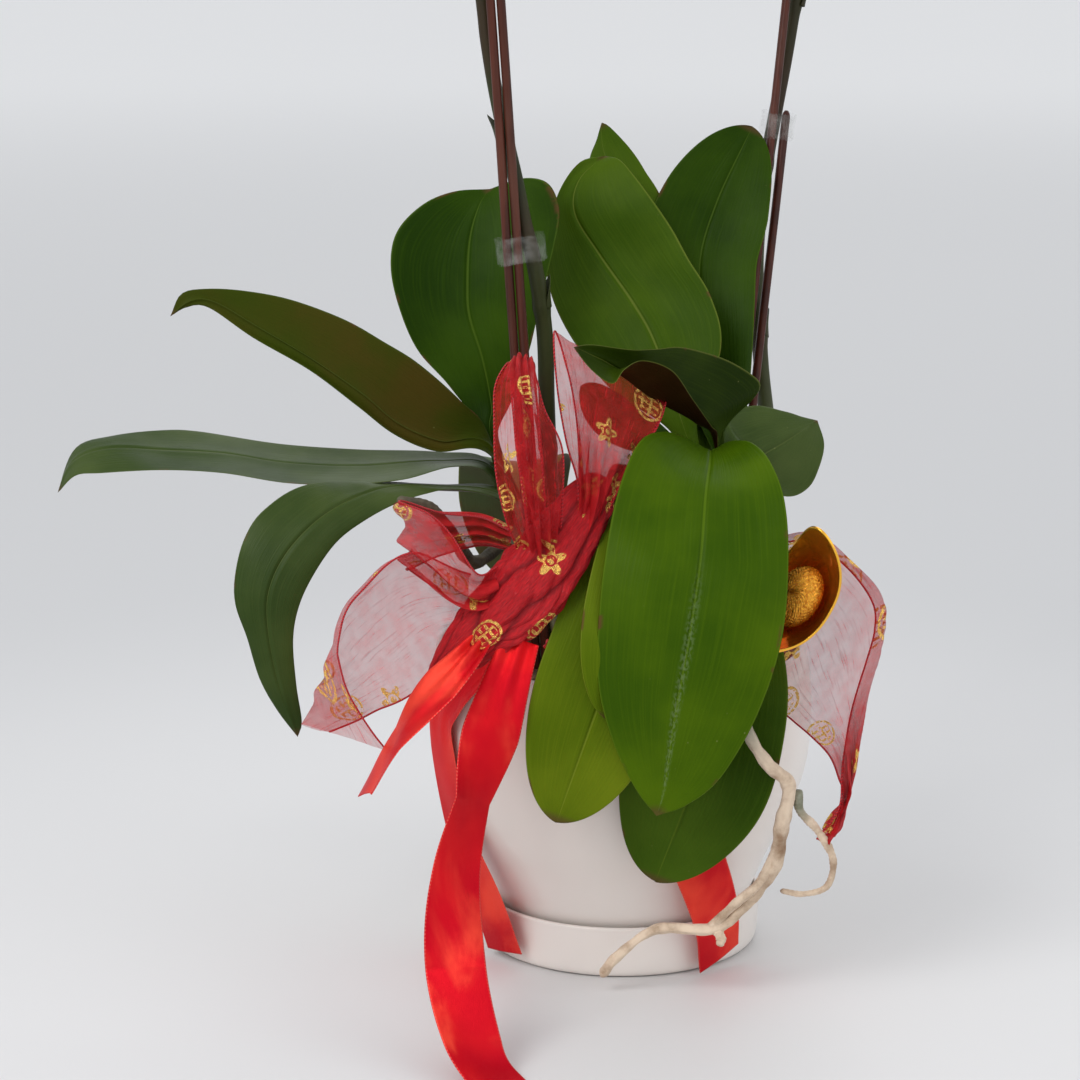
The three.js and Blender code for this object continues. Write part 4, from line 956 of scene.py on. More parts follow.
def spike_surface(spike):
    """The stem swells at each joint by a narrow bell curve, and carries scales, stalks and buds."""
    line = placed(spike["stem"] + spike["arch"])
    places, directions = run(line, SPIKE_ROWS)
    s = np.linspace(0, 1, SPIKE_ROWS)
    joints = np.array(JOINT_SHARES)
    radius = along([SPIKE_RADIUS, SPIKE_RADIUS * 0.96, SPIKE_RADIUS * 0.82, 2.3, 1.9, TIP_RADIUS], s)
    radius = radius * (1 + 0.16 * np.exp(-((s[:, None] - joints) / 0.006) ** 2).sum(1))
    parts = [tube(line, radius, SPIKE_ROWS, 20)]
    for k, joint in enumerate(joints):
        at = int(joint * (SPIKE_ROWS - 1))
        way = unit(np.cross(directions[at], [0.3, -1.0 if k % 2 else 1.0, 0.0]))
        parts.append(bract(places[at], directions[at], way, 17 - 2.5 * k))
    for start, lean, middle in flower_places(spike, BLOOM_SHARES, STALK_LENGTH):
        end = middle - lean * 1.5
        droop = (start + end) / 2 + [0, 0, 1.5]
        parts.append(tube([start, droop, end], [1.5, 1.25, 1.6], 24, 12))
    for k, (start, lean, middle) in enumerate(flower_places(spike, BUD_SHARES, STALK_LENGTH / 2)):
        parts.append(tube([start, (start + middle) / 2 + [0, 0, 1], middle], [1.2, 1.1, 1.1], 14, 10))
        parts.append(bud(middle, lean, BUD_RADIUS - k))
    return together(parts)


for side_name, spike in SPIKES.items():
    piece(f"spike_{side_name}_stem", spike_surface(spike), stem_skin.material, "stem", f"spike_{side_name}")

# %% [markdown]
# ## Blooms
# A moth orchid flower has three narrow sepals behind, two broad petals like wings, and a small
# three-lobed lip below the column. Each is a thin tongue turned about the flower's middle, so one
# function makes them all from a width, a reach and a cup, and only the numbers differ.

# %% Shape one bloom
# part: turn in degrees, reach, half-width, start height, cup, ruffle, roundness, tone
BLOOM_PARTS = [
    (0, 32, 21.0, 1.2, 5.0, 1.3, 0.62, 0.0), (180, 32, 21.0, 1.2, 5.0, 1.3, 0.62, 0.0),
    (90, 29.5, 11.5, -0.6, 3.0, 0.4, 0.85, 0.25), (234, 28.8, 11.0, -0.6, 2.4, 0.4, 0.85, 0.25),
    (306, 28.8, 11.0, -0.6, 2.4, 0.4, 0.85, 0.25),
]
LIP_PARTS = [
    # way and lift of each lobe: turn, reach, half-width, forward start, forward end
    (270, 13.0, 5.2, 3.0, 9.0), (205, 8.5, 4.6, 3.0, 12.0), (335, 8.5, 4.6, 3.0, 12.0),
]


def tongue(turn, reach, half, start, cup, ruffle, roundness, tone):
    """A flat tongue from the middle outwards: its width is half sin(pi s^0.72)^roundness, its height
    start + cup s^2, with a ruffled edge and a slight arch across."""
    s, (u, face) = (1 - (1 - np.linspace(0.02, 1, 24)) ** 1.5)[:, None], lens_section(22)
    width = half * np.sin(np.pi * np.minimum(s, 0.999) ** 0.72) ** roundness
    out = reach * s
    height = start + cup * s**2 + ruffle * np.abs(u) ** 2 * np.sin(9 * s + 3 * u) - 1.2 * u**2 * s
    a = np.radians(turn)
    x = out * np.cos(a) - width * u * np.sin(a)
    y = out * np.sin(a) + width * u * np.cos(a)
    thick = 0.5 * np.sqrt(1 - np.abs(u) ** 6) * np.ones_like(x)
    return skin(np.stack([x, y, height + thick * face], -1), along=s, across=u[None], tone=tone)


def lip_lobe(turn, reach, half, start, end):
    """A lobe that leaves the flower forwards and curls back: its height rises as a sine."""
    s, (u, face) = np.linspace(0.02, 1, 18)[:, None], lens_section(14)
    width = half * (0.35 + 0.65 * np.sin(np.pi * s**0.9)) * np.sqrt(np.clip(1.02 - s**3, 0.02, 1))
    a = np.radians(turn)
    out = reach * s
    height = start + (end - start) * np.sin(0.62 * np.pi * s) + 1.8 * u**2
    x, y = out * np.cos(a) - width * u * np.sin(a), out * np.sin(a) + width * u * np.cos(a)
    thick = 0.45 * np.sqrt(1 - np.abs(u) ** 6) * np.ones_like(x)
    return skin(np.stack([x, y, height + thick * face], -1), along=s, across=u[None], tone=1.0)


def column():
    """The small hooded column above the lip, a blunt rod that leans forwards."""
    t = np.linspace(0.02, np.pi - 0.02, 16)[:, None]
    turn = np.linspace(0, 2 * np.pi, 18, endpoint=False)[None]
    radius = 2.4 * np.sin(t) ** 0.7
    height = 5.0 - 5.5 * np.cos(t) + 0 * turn
    place = np.stack([radius * np.cos(turn), radius * np.sin(turn) + 0.25 * height + 0.5, height], -1)
    return skin(place, along=0.0, across=0.0, tone=0.6)


def bloom_at(middle, look):
    """The whole flower, with its face turned along look and its top as high as it can be."""
    points, faces, values = together(
        [tongue(*part) for part in BLOOM_PARTS] + [lip_lobe(*part) for part in LIP_PARTS] + [column()]
    )
    z = unit(look)
    x = unit(np.cross([0.0, 0.0, 1.0], z))
    return points @ np.stack([x, np.cross(z, x), z]) + middle, faces, values


print("a bloom has", len(BLOOM_PARTS), "petals and sepals and", len(LIP_PARTS), "lobes")

# %% Mix the petal's finish and set the blooms
petal = Recipe("magenta_petal", Roughness=0.55, Sheen_Weight=0.25, Sheen_Roughness=0.4)
p_across, p_along, p_tone = petal.value("across"), petal.value("along"), petal.value("tone")
fan = petal.vector(petal.times(p_across, 13.0), petal.times(p_along, 2.0))
veins = petal.ease(petal.noise(1.0, fan, detail=2.0, warp=0.4), 0.5, 0.62)
blush = petal.mix(petal.ease(p_along, 0.15, 0.95), (0.50, 0.035, 0.26), (0.68, 0.17, 0.45))
blush = petal.mix(petal.times(veins, 0.5), blush, (0.33, 0.006, 0.15))
deep_lip = petal.mix(petal.ease(p_along, 0.0, 0.35), (0.62, 0.33, 0.02), (0.30, 0.002, 0.085))
blush = petal.mix(petal.ease(p_tone, 0.9, 0.95), blush, deep_lip)
on_column = petal.ease(petal.distance(p_tone, 0.6), 0.02, 0.05, 1.0, 0.0)
blush = petal.mix(on_column, blush, (0.72, 0.45, 0.58))
petal.set(Base_Color=blush, Normal=petal.bump(veins, 0.0004, 0.5))

for side_name, spike in SPIKES.items():
    facing = np.array(spike["facing"], float)
    for k, (start, lean, middle) in enumerate(flower_places(spike, BLOOM_SHARES, STALK_LENGTH), 1):
        node = f"bloom_{side_name}_{k}"
        piece(f"{node}_flower", bloom_at(middle, lean + facing), petal.material, "petal", node)

# %% [markdown]
# ## Stakes and tape
# The stakes are steel wire under red-brown plastic, pushed into the bark. The plastic is drawn over
# the wire, so it has faint lengthwise lines and takes a sharp streak of light. Clear tape goes once
# round a stem and its stakes: a band that is oval, a little slack and half see-through.

# %% Push in the stakes
STAKE_RADIUS = 2.0
STAKE_SPACING = 2 * STAKE_RADIUS + 0.5
STAKES = {
    "stake_left_outer": ([-34 - STAKE_SPACING, -15], [-54.5 - STAKE_SPACING, -15, 436]),
    "stake_left_inner": ([-34, -15], [-54.5, -15, 436]),
    "stake_right_tall": ([45, 30], [79, 92, 436]),
    "stake_right_short": ([50, 30], [78.2, 82, 374]),
}
STAKE_ROWS = 240

coated = Recipe("red_brown_stake", Roughness=0.40, Specular_IOR_Level=0.22)
coated.set(Coat_Weight=0.06, Coat_Roughness=0.2)
lines = coated.noise(220.0, coated.stretched((1.0, 1.0, 0.03)), detail=3.0)
worn = coated.noise(30.0, coated.stretched((1.0, 1.0, 0.3)), detail=5.0)
paint = coated.mix(coated.ease(lines, 0.3, 0.7), (0.034, 0.010, 0.006), (0.090, 0.020, 0.010))
paint = coated.mix(coated.ease(worn, 0.6, 0.75, 0.0, 0.5), paint, (0.14, 0.05, 0.03))
coated.set(Base_Color=paint, Normal=coated.bump(lines, 0.0003, 0.5))


def stake_surface(foot, top):
    """A straight round rod whose end is rounded off, with a very slight waver."""
    start = np.array([*foot, bark_high[2] + 1.0])
    top = placed(top)
    s = np.linspace(0, 1, 40)
    line = start + (top - start) * s[:, None] + np.c_[0.12 * np.sin(9 * s), 0.12 * np.sin(7 * s + 1), 0 * s]
    radius = np.full(STAKE_ROWS, STAKE_RADIUS)
    radius[-3:] *= [0.93, 0.75, 0.4]
    return tube(line, radius, STAKE_ROWS, 20)


for name, (foot, top) in STAKES.items():
    piece(f"{name}_wire", stake_surface(foot, top), coated.material, "stake", name)


# %% Wind the tape
# tape: middle, the way its axis leans, and how far it reaches across and deep
TAPES = {
    "tape_left": ([-45.5, -12.6, 321], [-0.15, 0, 1], 10.6, 7.6),
    "tape_right": ([74.4, 85, 367], [0.13, 0, 1], 7.6, 12.0),
}
TAPE_HEIGHT = 12.0
TAPE_WALL = 0.8


def band_surface(middle, lean, across, deep):
    """An oval ring with a wall: rounded rectangle section, carried once round, with slack ripples."""
    turn = np.linspace(0, 2 * np.pi, 90, endpoint=False)[:, None]
    corner = np.array([[0, -1], [1, -1], [1, 0], [1, 1], [0, 1], [0, 0]], float)
    z = unit(np.array(lean, float))
    y = unit(np.array([0.0, 1.0, 0.0]) - z * z[1])
    x = np.cross(y, z)
    slack = 0.35 * np.sin(5 * turn) + 0.2 * np.sin(11 * turn + 1)
    wall = corner[:, 0] * TAPE_WALL * 0.6 + slack
    rise = corner[:, 1] * (TAPE_HEIGHT / 2 - 0.2) + 0.3 * np.sin(3 * turn)
    spot = x * ((across + wall) * np.cos(turn))[..., None] + y * ((deep + wall) * np.sin(turn))[..., None]
    return ring_skin(placed(middle) + spot + z * rise[..., None])


def ring_skin(rings):
    """A closed surface over rings (n, m, 3) whose last ring joins the first."""
    n, m = rings.shape[:2]
    i, j = np.meshgrid(np.arange(n), np.arange(m), indexing="ij")
    a, b = i * m + j, i * m + (j + 1) % m
    c, d = (i + 1) % n * m + (j + 1) % m, (i + 1) % n * m + j
    quads = np.stack([a, b, c, d], -1).reshape(-1, 4)
    points = rings.reshape(-1, 3)
    corner = (points - points.mean(0))[np.vstack([quads[:, [0, 1, 2]], quads[:, [0, 2, 3]]])]
    if (corner[:, 0] * np.cross(corner[:, 1], corner[:, 2])).sum() < 0:
        quads = quads[:, ::-1]
    return points, [quads], {}


clear = Recipe("clear_tape", Base_Color=(0.62, 0.64, 0.60), Coat_Weight=0.5, Coat_Roughness=0.1)
crinkle = clear.noise(150.0, detail=3.0)
clear.set(
    Alpha=clear.ease(crinkle, 0.35, 0.8, 0.02, 0.14),
    Roughness=clear.ease(crinkle, 0.3, 0.7, 0.12, 0.3),
    Normal=clear.bump(crinkle, 0.0006, 0.6),
)
for name, row in TAPES.items():
    piece(f"{name}_band", band_surface(*row), clear.material, "clear_tape", name)

# %% [markdown]
# ## Aerial roots
# A root that misses the pot grows along in the air. Its skin is a dry sponge: grey-green and plump
# near the plant, tan and shrunken further on. The thickness wanders, so the radius is a list, and
# ridges run round and along it.

# %% Shape an aerial root
ROOT_SIDES = 26
LONG_ROOT = [
    [53, -19, 206], [48, -52, 201], [44, -84, 181], [45, -104, 152], [51, -109, 128], [60, -109, 113],
    [69, -106, 103], [67, -100, 84], [64, -94, 63], [52, -91, 44], [38, -90, 33], [14, -88, 32],
    [-3, -84, 18], [-10, -82, 8],
]
ROOT_BRANCH = [[65, -95, 70], [58, -96, 56], [48, -94, 46], [37, -90, 33]]
ROOT_BUD = [[40, -90, 33], [42, -92, 29], [41, -93, 26]]
SHORT_ROOT = [
    [-56, -13, 186], [-65, -38, 185], [-70, -58, 193], [-75, -70, 205], [-84, -78, 218], [-98, -80, 222],
]
WIRY_ROOT = [
    [73.5, -103.5, 99], [75, -98, 89], [83, -94, 79], [90, -93, 66], [88, -91, 53],
    [78, -89, 48.5], [68, -86, 49],
]


def root_tube(points, radius, steps, age, seed):
    """A tube with ridges: its skin moves out by sines of the turn and of the way along, all drawn
    from one seed. Age is 0 where the root is fresh and green and 1 where it is dry."""
    draw = np.random.default_rng(seed)
    middle = placed(points)
    knots = draw.uniform(0.86, 1.12, 3 * len(points))
    knots[[0, -1]] = 1.0
    s = np.linspace(0, 1, steps)
    reach = along(radius, s) * along(knots, s)
    reach[-4:] *= [0.95, 0.85, 0.65, 0.35]
    skin_points, faces, values = tube(middle, reach, steps, ROOT_SIDES)
    places, _ = run(middle, steps)
    whole = np.vstack([np.repeat(places, ROOT_SIDES, axis=0), places[:1], places[-1:]])
    out = skin_points - whole
    turn, way = values["around"] * 2 * np.pi, values["along"]
    ridge = 1 + 0.06 * np.sin(5 * turn + 9 * way + draw.random() * 6) + 0.035 * np.sin(9 * turn - 60 * way)
    ridge = ridge + 0.05 * np.sin(230 * way + 2 * np.sin(2 * turn))
    ages = {"age": np.interp(way, np.linspace(0, 1, len(age)), age)}
    return whole + out * ridge[:, None], faces, ages


print("the long root is", round(length_of(placed(LONG_ROOT))), "mm long")

# %% Mix the root finishes and set the roots
old_root = Recipe("wet_root_skin", Roughness=0.62)
old_mottle = old_root.noise(70.0, detail=6.0, rough=0.6)
old_colour = old_root.mix(old_root.ease(old_mottle, 0.3, 0.7), (0.030, 0.024, 0.012), (0.11, 0.085, 0.045))
old_root.set(Base_Color=old_colour, Normal=old_root.bump(old_mottle, 0.0008, 0.6))
velamen = Recipe("dry_root_skin", Roughness=0.78, Sheen_Weight=0.15)
age = velamen.value("age")
mottle = velamen.noise(55.0, detail=6.0, rough=0.6)
fresh_skin = velamen.mix(velamen.ease(mottle, 0.35, 0.7), (0.15, 0.16, 0.085), (0.42, 0.41, 0.33))
dry_skin = velamen.mix(velamen.ease(mottle, 0.28, 0.62), (0.26, 0.145, 0.07), (0.78, 0.62, 0.46))
root_colour = velamen.mix(velamen.ease(age, 0.2, 0.6), fresh_skin, dry_skin)
stained = velamen.ease(velamen.noise(19.0), 0.6, 0.72, 0.0, 0.6)
root_colour = velamen.mix(stained, root_colour, (0.20, 0.085, 0.04))
velamen.set(Base_Color=root_colour, Normal=velamen.bump(mottle, 0.0009, 0.7))

LONG_RADII = [3.0, 3.1, 3.0, 3.1, 2.8, 2.5, 2.9, 3.1, 3.2, 3.0, 2.6, 2.0, 2.3]
long_root = together([
    root_tube(LONG_ROOT, LONG_RADII, 420, [0, 0, 0.1, 0.3, 1, 1, 1, 1], 5),
    root_tube(ROOT_BRANCH, [2.3, 1.8, 1.9, 2.1], 90, [1, 1], 9),
    root_tube(ROOT_BUD, [2.4, 2.3, 1.9], 30, [0.9, 0.5], 11),
])
short_root = root_tube(SHORT_ROOT, [2.6, 2.7, 2.8, 2.7, 2.5, 2.1], 160, [0.0, 0.1], 21)
wiry_root = root_tube(WIRY_ROOT, [2.0, 1.8, 1.7, 1.5, 1.3, 1.2], 200, [0.1, 0.4, 1, 1, 1, 0.8], 13)
piece("aerial_root_long_skin", long_root, velamen.material, "root", "aerial_root_long")
piece("aerial_root_short_skin", short_root, old_root.material, "root", "aerial_root_short")
piece("aerial_root_wiry_skin", wiry_root, velamen.material, "root", "aerial_root_wiry")

# %% [markdown]
# ## The sheer bow
# The bow is one length of 50 mm organza, gathered in the middle: woven so fine that it shows as a
# red haze, with a wire-cored cord along each edge and gold foil prints. Cloth simulation could drop
# it, but a bow is set by its wired edges and fingers, so each part is stretched over guide lines, and
# the pleats are worked out: near the knot they are as deep as it takes to hold the full 50 mm.

# %% Lay out the bow
ORGANZA_WIDTH = 50.0
FULL_SHEER = ORGANZA_WIDTH / 2
CORD_RADIUS = 0.42
# piece: guide lines from one long edge to the other, waves across and their share, how it is held
BOW = {
    "bow_loop_tall": ([
        [
            [-45, -101, 201], [-51, -108, 221], [-55, -110, 241], [-55, -109, 266], [-54, -106, 276],
            [-50, -98, 283], [-49, -90, 279], [-48, -87, 262], [-46, -88, 237], [-42, -91, 211],
            [-39, -93, 199],
        ],
        [
            [-37, -105, 201], [-40, -119, 225], [-43, -126, 243], [-45, -125, 267], [-46, -117, 280],
            [-45, -99, 287], [-44, -80, 279], [-43, -74, 261], [-42, -76, 236], [-39, -84, 211],
            [-36, -92, 199],
        ],
        [
            [-29, -101, 201], [-27, -106, 228], [-27, -108, 250], [-34, -107, 266], [-37, -104, 278],
            [-40, -97, 285], [-39, -89, 281], [-38, -86, 262], [-37, -87, 237], [-36, -90, 211],
            [-33, -93, 199],
        ],
    ], 5, 0.75, "gathered"),
    "bow_loop_broad": ([
        [
            [-24, -100, 207], [-21, -96, 230], [-26, -85, 249], [-30, -72, 271], [-31, -62, 291],
            [-28, -52, 284], [-23, -56, 261], [-21, -72, 238], [-18, -88, 209],
        ],
        [
            [-19, -101, 206], [-14, -97, 230], [-10, -84, 248], [-8, -71, 264], [-7, -60, 277],
            [-6, -46, 269], [-9, -51, 252], [-15, -71, 229], [-16, -89, 208],
        ],
        [
            [-15, -98, 205], [-4, -88, 229], [10, -66, 245], [15, -58, 253], [17, -52, 259],
            [16, -42, 252], [7, -52, 236], [-7, -74, 221], [-13, -88, 207],
        ],
    ], 5, 0.62, "gathered"),
    "bow_loop_small": ([
        [
            [-55, -108, 199], [-64, -112, 197], [-75, -111, 214], [-83, -109, 222], [-94, -105, 226],
            [-93, -100, 225], [-78, -96, 220], [-62, -96, 219], [-49, -97, 213],
        ],
        [
            [-55, -110, 192], [-65, -114, 191], [-77, -114, 203], [-85, -112, 208], [-94, -107, 212],
            [-94, -98, 210], [-79, -93, 211], [-63, -93, 212], [-49, -95, 208],
        ],
        [
            [-55, -108, 184], [-65, -111, 181], [-75, -111, 184], [-83, -109, 190], [-93, -105, 197],
            [-92, -99, 196], [-79, -95, 201], [-62, -94, 205], [-49, -96, 203],
        ],
    ], 3, 1.0, "gathered"),
    "bow_tail_left": ([
        [
            [-66, -107, 197], [-93, -111, 206], [-115, -113, 186], [-121, -114, 169], [-120, -113, 153],
            [-113, -111, 136], [-102, -109, 119],
        ],
        [
            [-67, -105, 192], [-95, -107, 202], [-117, -107, 182], [-124, -106, 165], [-130, -105, 150],
            [-134, -104, 138], [-137, -104, 129],
        ],
        [
            [-67, -104, 182], [-86, -104, 182], [-103, -103, 168], [-111, -102, 154], [-118, -101, 141],
            [-126, -101, 133], [-133, -101, 126],
        ],
        [
            [-66, -104, 168], [-77, -103, 155], [-84, -102, 148], [-95, -101, 140], [-106, -101, 135],
            [-117, -101, 129], [-127, -101, 125],
        ],
    ], 4, 0.5, "hung"),
    "bow_tail_right": ([
        [
            [52, -66, 164], [64, -70, 154], [63, -74, 143], [65, -78, 131], [72, -82, 125],
            [80, -86, 119], [88, -88, 111], [92, -90, 102], [94, -92, 94], [89, -94, 80],
        ],
        [
            [57, -64, 179], [71, -69, 176], [78, -73, 167], [83, -77, 156], [86, -82, 144],
            [90, -86, 133], [94, -88, 120], [95.5, -90, 108], [96, -92, 96], [88, -93, 77],
        ],
        [
            [61, -60, 199], [80, -66, 203], [96, -72, 192], [108, -77, 178], [110, -81, 165],
            [107, -85, 148], [103, -88, 131], [99, -90, 111], [96, -92, 90], [86, -93, 73],
        ],
        [
            [61, -58, 197], [80, -64, 200], [95, -70, 190], [106, -74, 176], [107, -77, 164],
            [103, -81, 148], [99, -84, 131], [96, -87, 111], [94, -91, 90], [86, -92, 73],
        ],
    ], 3, 0.5, "hung"),
}
print("the bow has", len(BOW), "loops and tails")


# %% Stretch and pleat the organza
BOW_ROWS = 190
BOW_COLUMNS = 81
DEEPEST_PLEAT = 3.6


def loft(guides, rows, count):
    """A grid over guide lines: every line is cut into equal steps, and across each row runs a
    Catmull-Rom line through the guides, itself in equal steps."""
    lines = [run(placed(guide), rows)[0] for guide in guides]
    return np.stack([run([line[i] for line in lines], count)[0] for i in range(rows)])


def pleated(grid, waves, share, seed):
    """Waves along the sheet's normal. Cloth of full width over a gap w needs each wave longer by the
    ratio f of the two, and a sine of steepest slope k is longer by about sqrt(1 + (0.64 k)^2). The
    waves are full at the gathered ends and fade to a share of that between them."""
    rows, count = grid.shape[:2]
    s, u = np.linspace(0, 1, rows)[:, None], np.linspace(-1, 1, count)[None]
    width = np.linalg.norm(np.diff(grid, axis=1), axis=2).sum(1)[:, None]
    slope = np.sqrt(np.maximum(ORGANZA_WIDTH / np.maximum(width, 2.0), 1.0) ** 2 - 1) / 0.64
    depth = np.minimum(slope * width / (2 * np.pi * waves), DEEPEST_PLEAT)
    near_end = np.exp(-((s / 0.2) ** 2)) + np.exp(-(((1 - s) / 0.2) ** 2))
    phase = np.pi * waves * u + 1.3 * np.sin(2.1 * u + seed) + 1.8 * np.sin(2.6 * s + 1.4 * u + seed)
    uneven = 0.75 + 0.25 * np.sin(4.7 * u + 3 * s + seed)
    wave = depth * np.clip(share + near_end, 0, 1) * np.sin(phase) * uneven
    slow = 0.8 * np.sin(6 * s + 2 * u + seed) * np.clip(width / ORGANZA_WIDTH, 0, 1)
    fine = 0.22 * np.sin(31 * s + 9 * u + seed) * np.sin(17 * u - 8 * s)
    return grid + surface_normals(grid) * (wave + slow + fine)[..., None], width


print("a pleat is at most", DEEPEST_PLEAT, "mm deep")

# %% Mix the bow's finishes
GOLD_LEAF = (0.88, 0.55, 0.14)
organza = Recipe("foil_printed_organza", Specular_IOR_Level=0.2)


def foil_print(r, place, size, keep):
    """Scattered gold prints: each cell of a loose grid has a middle and a random colour. About that
    middle a ring with bars or a five-petalled flower is drawn from the distance and the turn, and
    a fine noise eats into it, as rubbed foil does."""
    flat, minus = {"voronoi_dimensions": "2D"}, {"operation": "SUBTRACT"}
    cell = r.put("ShaderNodeTexVoronoi", flat, Vector=place, Scale=1.0 / size, Randomness=0.55)
    offset = r.put("ShaderNodeVectorMath", minus, _0=place, _1=cell.outputs["Position"]).outputs[0]
    parts = r.put("ShaderNodeSeparateXYZ", Vector=offset).outputs
    colour = r.put("ShaderNodeSeparateColor", Color=cell.outputs["Color"]).outputs
    radius = r.put("ShaderNodeVectorMath", {"operation": "LENGTH"}, _0=offset).outputs["Value"]
    turn = r.sums("ARCTAN2", parts[1], parts[0])
    petals = r.sums("ADD", 5.2, r.times(1.9, r.sums("SINE", r.times(turn, 5.0))))
    flower = r.ease(r.sums("SUBTRACT", radius, petals), -0.25, 0.25, 1.0, 0.0)
    flower = r.times(flower, r.ease(r.distance(radius, 2.1), 0.3, 0.6))
    ring = r.ease(r.distance(radius, 6.6), 0.45, 0.8, 1.0, 0.0)
    bars = r.ease(r.sums("SINE", r.times(parts[1], 2.1)), 0.1, 0.4)
    posts = r.ease(r.sums("SINE", r.times(parts[0], 1.5)), 0.55, 0.8)
    inner = r.times(r.sums("MAXIMUM", bars, posts), r.ease(radius, 4.9, 5.3, 1.0, 0.0))
    medal = r.sums("MAXIMUM", ring, inner)
    pick = r.ease(colour[0], 0.49, 0.51)
    other = r.sums("SUBTRACT", 1.0, pick)
    shape = r.sums("ADD", r.times(pick, flower), r.times(other, medal))
    shape = r.times(shape, r.ease(colour[1], keep, keep + 0.02))
    return r.times(shape, r.ease(r.noise(0.55, place, detail=5.0, rough=0.65), 0.42, 0.47))


def organza_finish(r):
    """Red threads let most light by where one layer lies flat, and less where it is gathered: what
    passes is what passes one flat layer, to the power of how many times it is gathered."""
    place = r.vector(r.value("across_mm"), r.value("along_mm"))
    foil = foil_print(r, place, 24.0, 0.34)
    thread = r.times(r.sums("SINE", r.times(r.value("across_mm"), 14.0)),
                    r.sums("SINE", r.times(r.value("along_mm"), 14.0)))
    haze = r.noise(0.16, place, detail=4.0)
    streak = r.noise(1.0, r.stretched((0.9, 0.06, 1.0), place=place), detail=4.0)
    passes = r.sums("ADD", r.ease(haze, 0.3, 0.7, 0.62, 0.50), r.times(thread, 0.07))
    passes = r.sums("SUBTRACT", passes, r.ease(streak, 0.52, 0.72, 0.0, 0.2))
    weave = r.sums("SUBTRACT", 1.0, r.sums("POWER", passes, r.value("layers")))
    red = r.mix(r.ease(haze, 0.3, 0.7), (0.47, 0.006, 0.010), (0.62, 0.014, 0.018))
    crinkled = r.noise(2.2, place, detail=5.0, rough=0.7)
    return r.set(
        Base_Color=r.mix(foil, red, GOLD_LEAF),
        Alpha=r.sums("MAXIMUM", weave, r.times(foil, 0.98)),
        Metallic=foil,
        Roughness=r.ease(foil, 0.0, 1.0, 0.5, 0.24),
        Normal=r.bump(crinkled, 0.0011, 0.7),
    )


organza_finish(organza)
cord_red = Recipe("red_edge_cord", Roughness=0.42)
turns = cord_red.times(cord_red.value("around"), 6.283)
twist = cord_red.sums("SINE", cord_red.sums("ADD", cord_red.times(cord_red.value("along"), 700.0), turns))
# Painted shade: the cord's red is darker in the grooves between the strands of its twist; the same sine
# gives the relief.
cord_red.set(
    Base_Color=cord_red.mix(cord_red.ease(twist, -0.4, 0.8), (0.30, 0.001, 0.006), (0.60, 0.006, 0.014)),
    Normal=cord_red.bump(twist, 0.0003, 0.6),
)
print("foil prints on", organza.material.name)


# %% Tie the bow
def edge_cords(grid):
    """One thin tube along each long edge of a ribbon's grid."""
    return together([tube(grid[::3, edge], CORD_RADIUS, 200, 8) for edge in (0, -1)])


for seed, (name, (guides, waves, share, held)) in enumerate(BOW.items()):
    grid, width = pleated(loft(guides, BOW_ROWS, BOW_COLUMNS), waves, share, 1.7 * seed + 0.4)
    length = length_of(loft(guides, BOW_ROWS, 3)[:, 1])
    across_mm = np.linspace(-FULL_SHEER, FULL_SHEER, grid.shape[1])[None] + 60.0 * seed
    along_mm = np.linspace(0, length, grid.shape[0])[:, None]
    layers = np.clip(ORGANZA_WIDTH / width, 1.0, 3.2)
    cell = np.cross(np.diff(grid, axis=0)[:, :-1], np.diff(grid, axis=1)[:-1])
    cloth_share = np.linalg.norm(cell, axis=2).sum() / (ORGANZA_WIDTH * length)
    print(f"{name}: cloth {cloth_share:.2f} of its flat area")
    sheer = piece(f"{name}_organza", cloth(grid, across_mm=across_mm, along_mm=along_mm, layers=layers),
                  organza.material, "sheer_ribbon", name)
    cords = piece(f"{name}_cords", edge_cords(grid), cord_red.material, "sheer_ribbon")

# %% [markdown]
# ## The knot
# From the broad loop through the knot to the left tail the layers are pinched together, and what
# shows is a fist of crumpled organza. A flat oval carried along that line reads as it, with a skin
# that moves out and in: absolute values of sines give sharp creases with round cloth between them.

# %% Gather the knot
GATHER_LINE = [
    [-9, -86, 233], [-16, -92, 224], [-24, -98, 213], [-35, -102, 198],
    [-50, -106, 181], [-68, -108, 165], [-84, -109, 149],
]
GATHER_HALF = [9, 12, 15, 17, 15, 10, 4]
GATHER_DEPTH = [3, 5, 8, 10, 8, 5, 2.5]
GATHER_ROWS = 260
GATHER_SIDES = 240


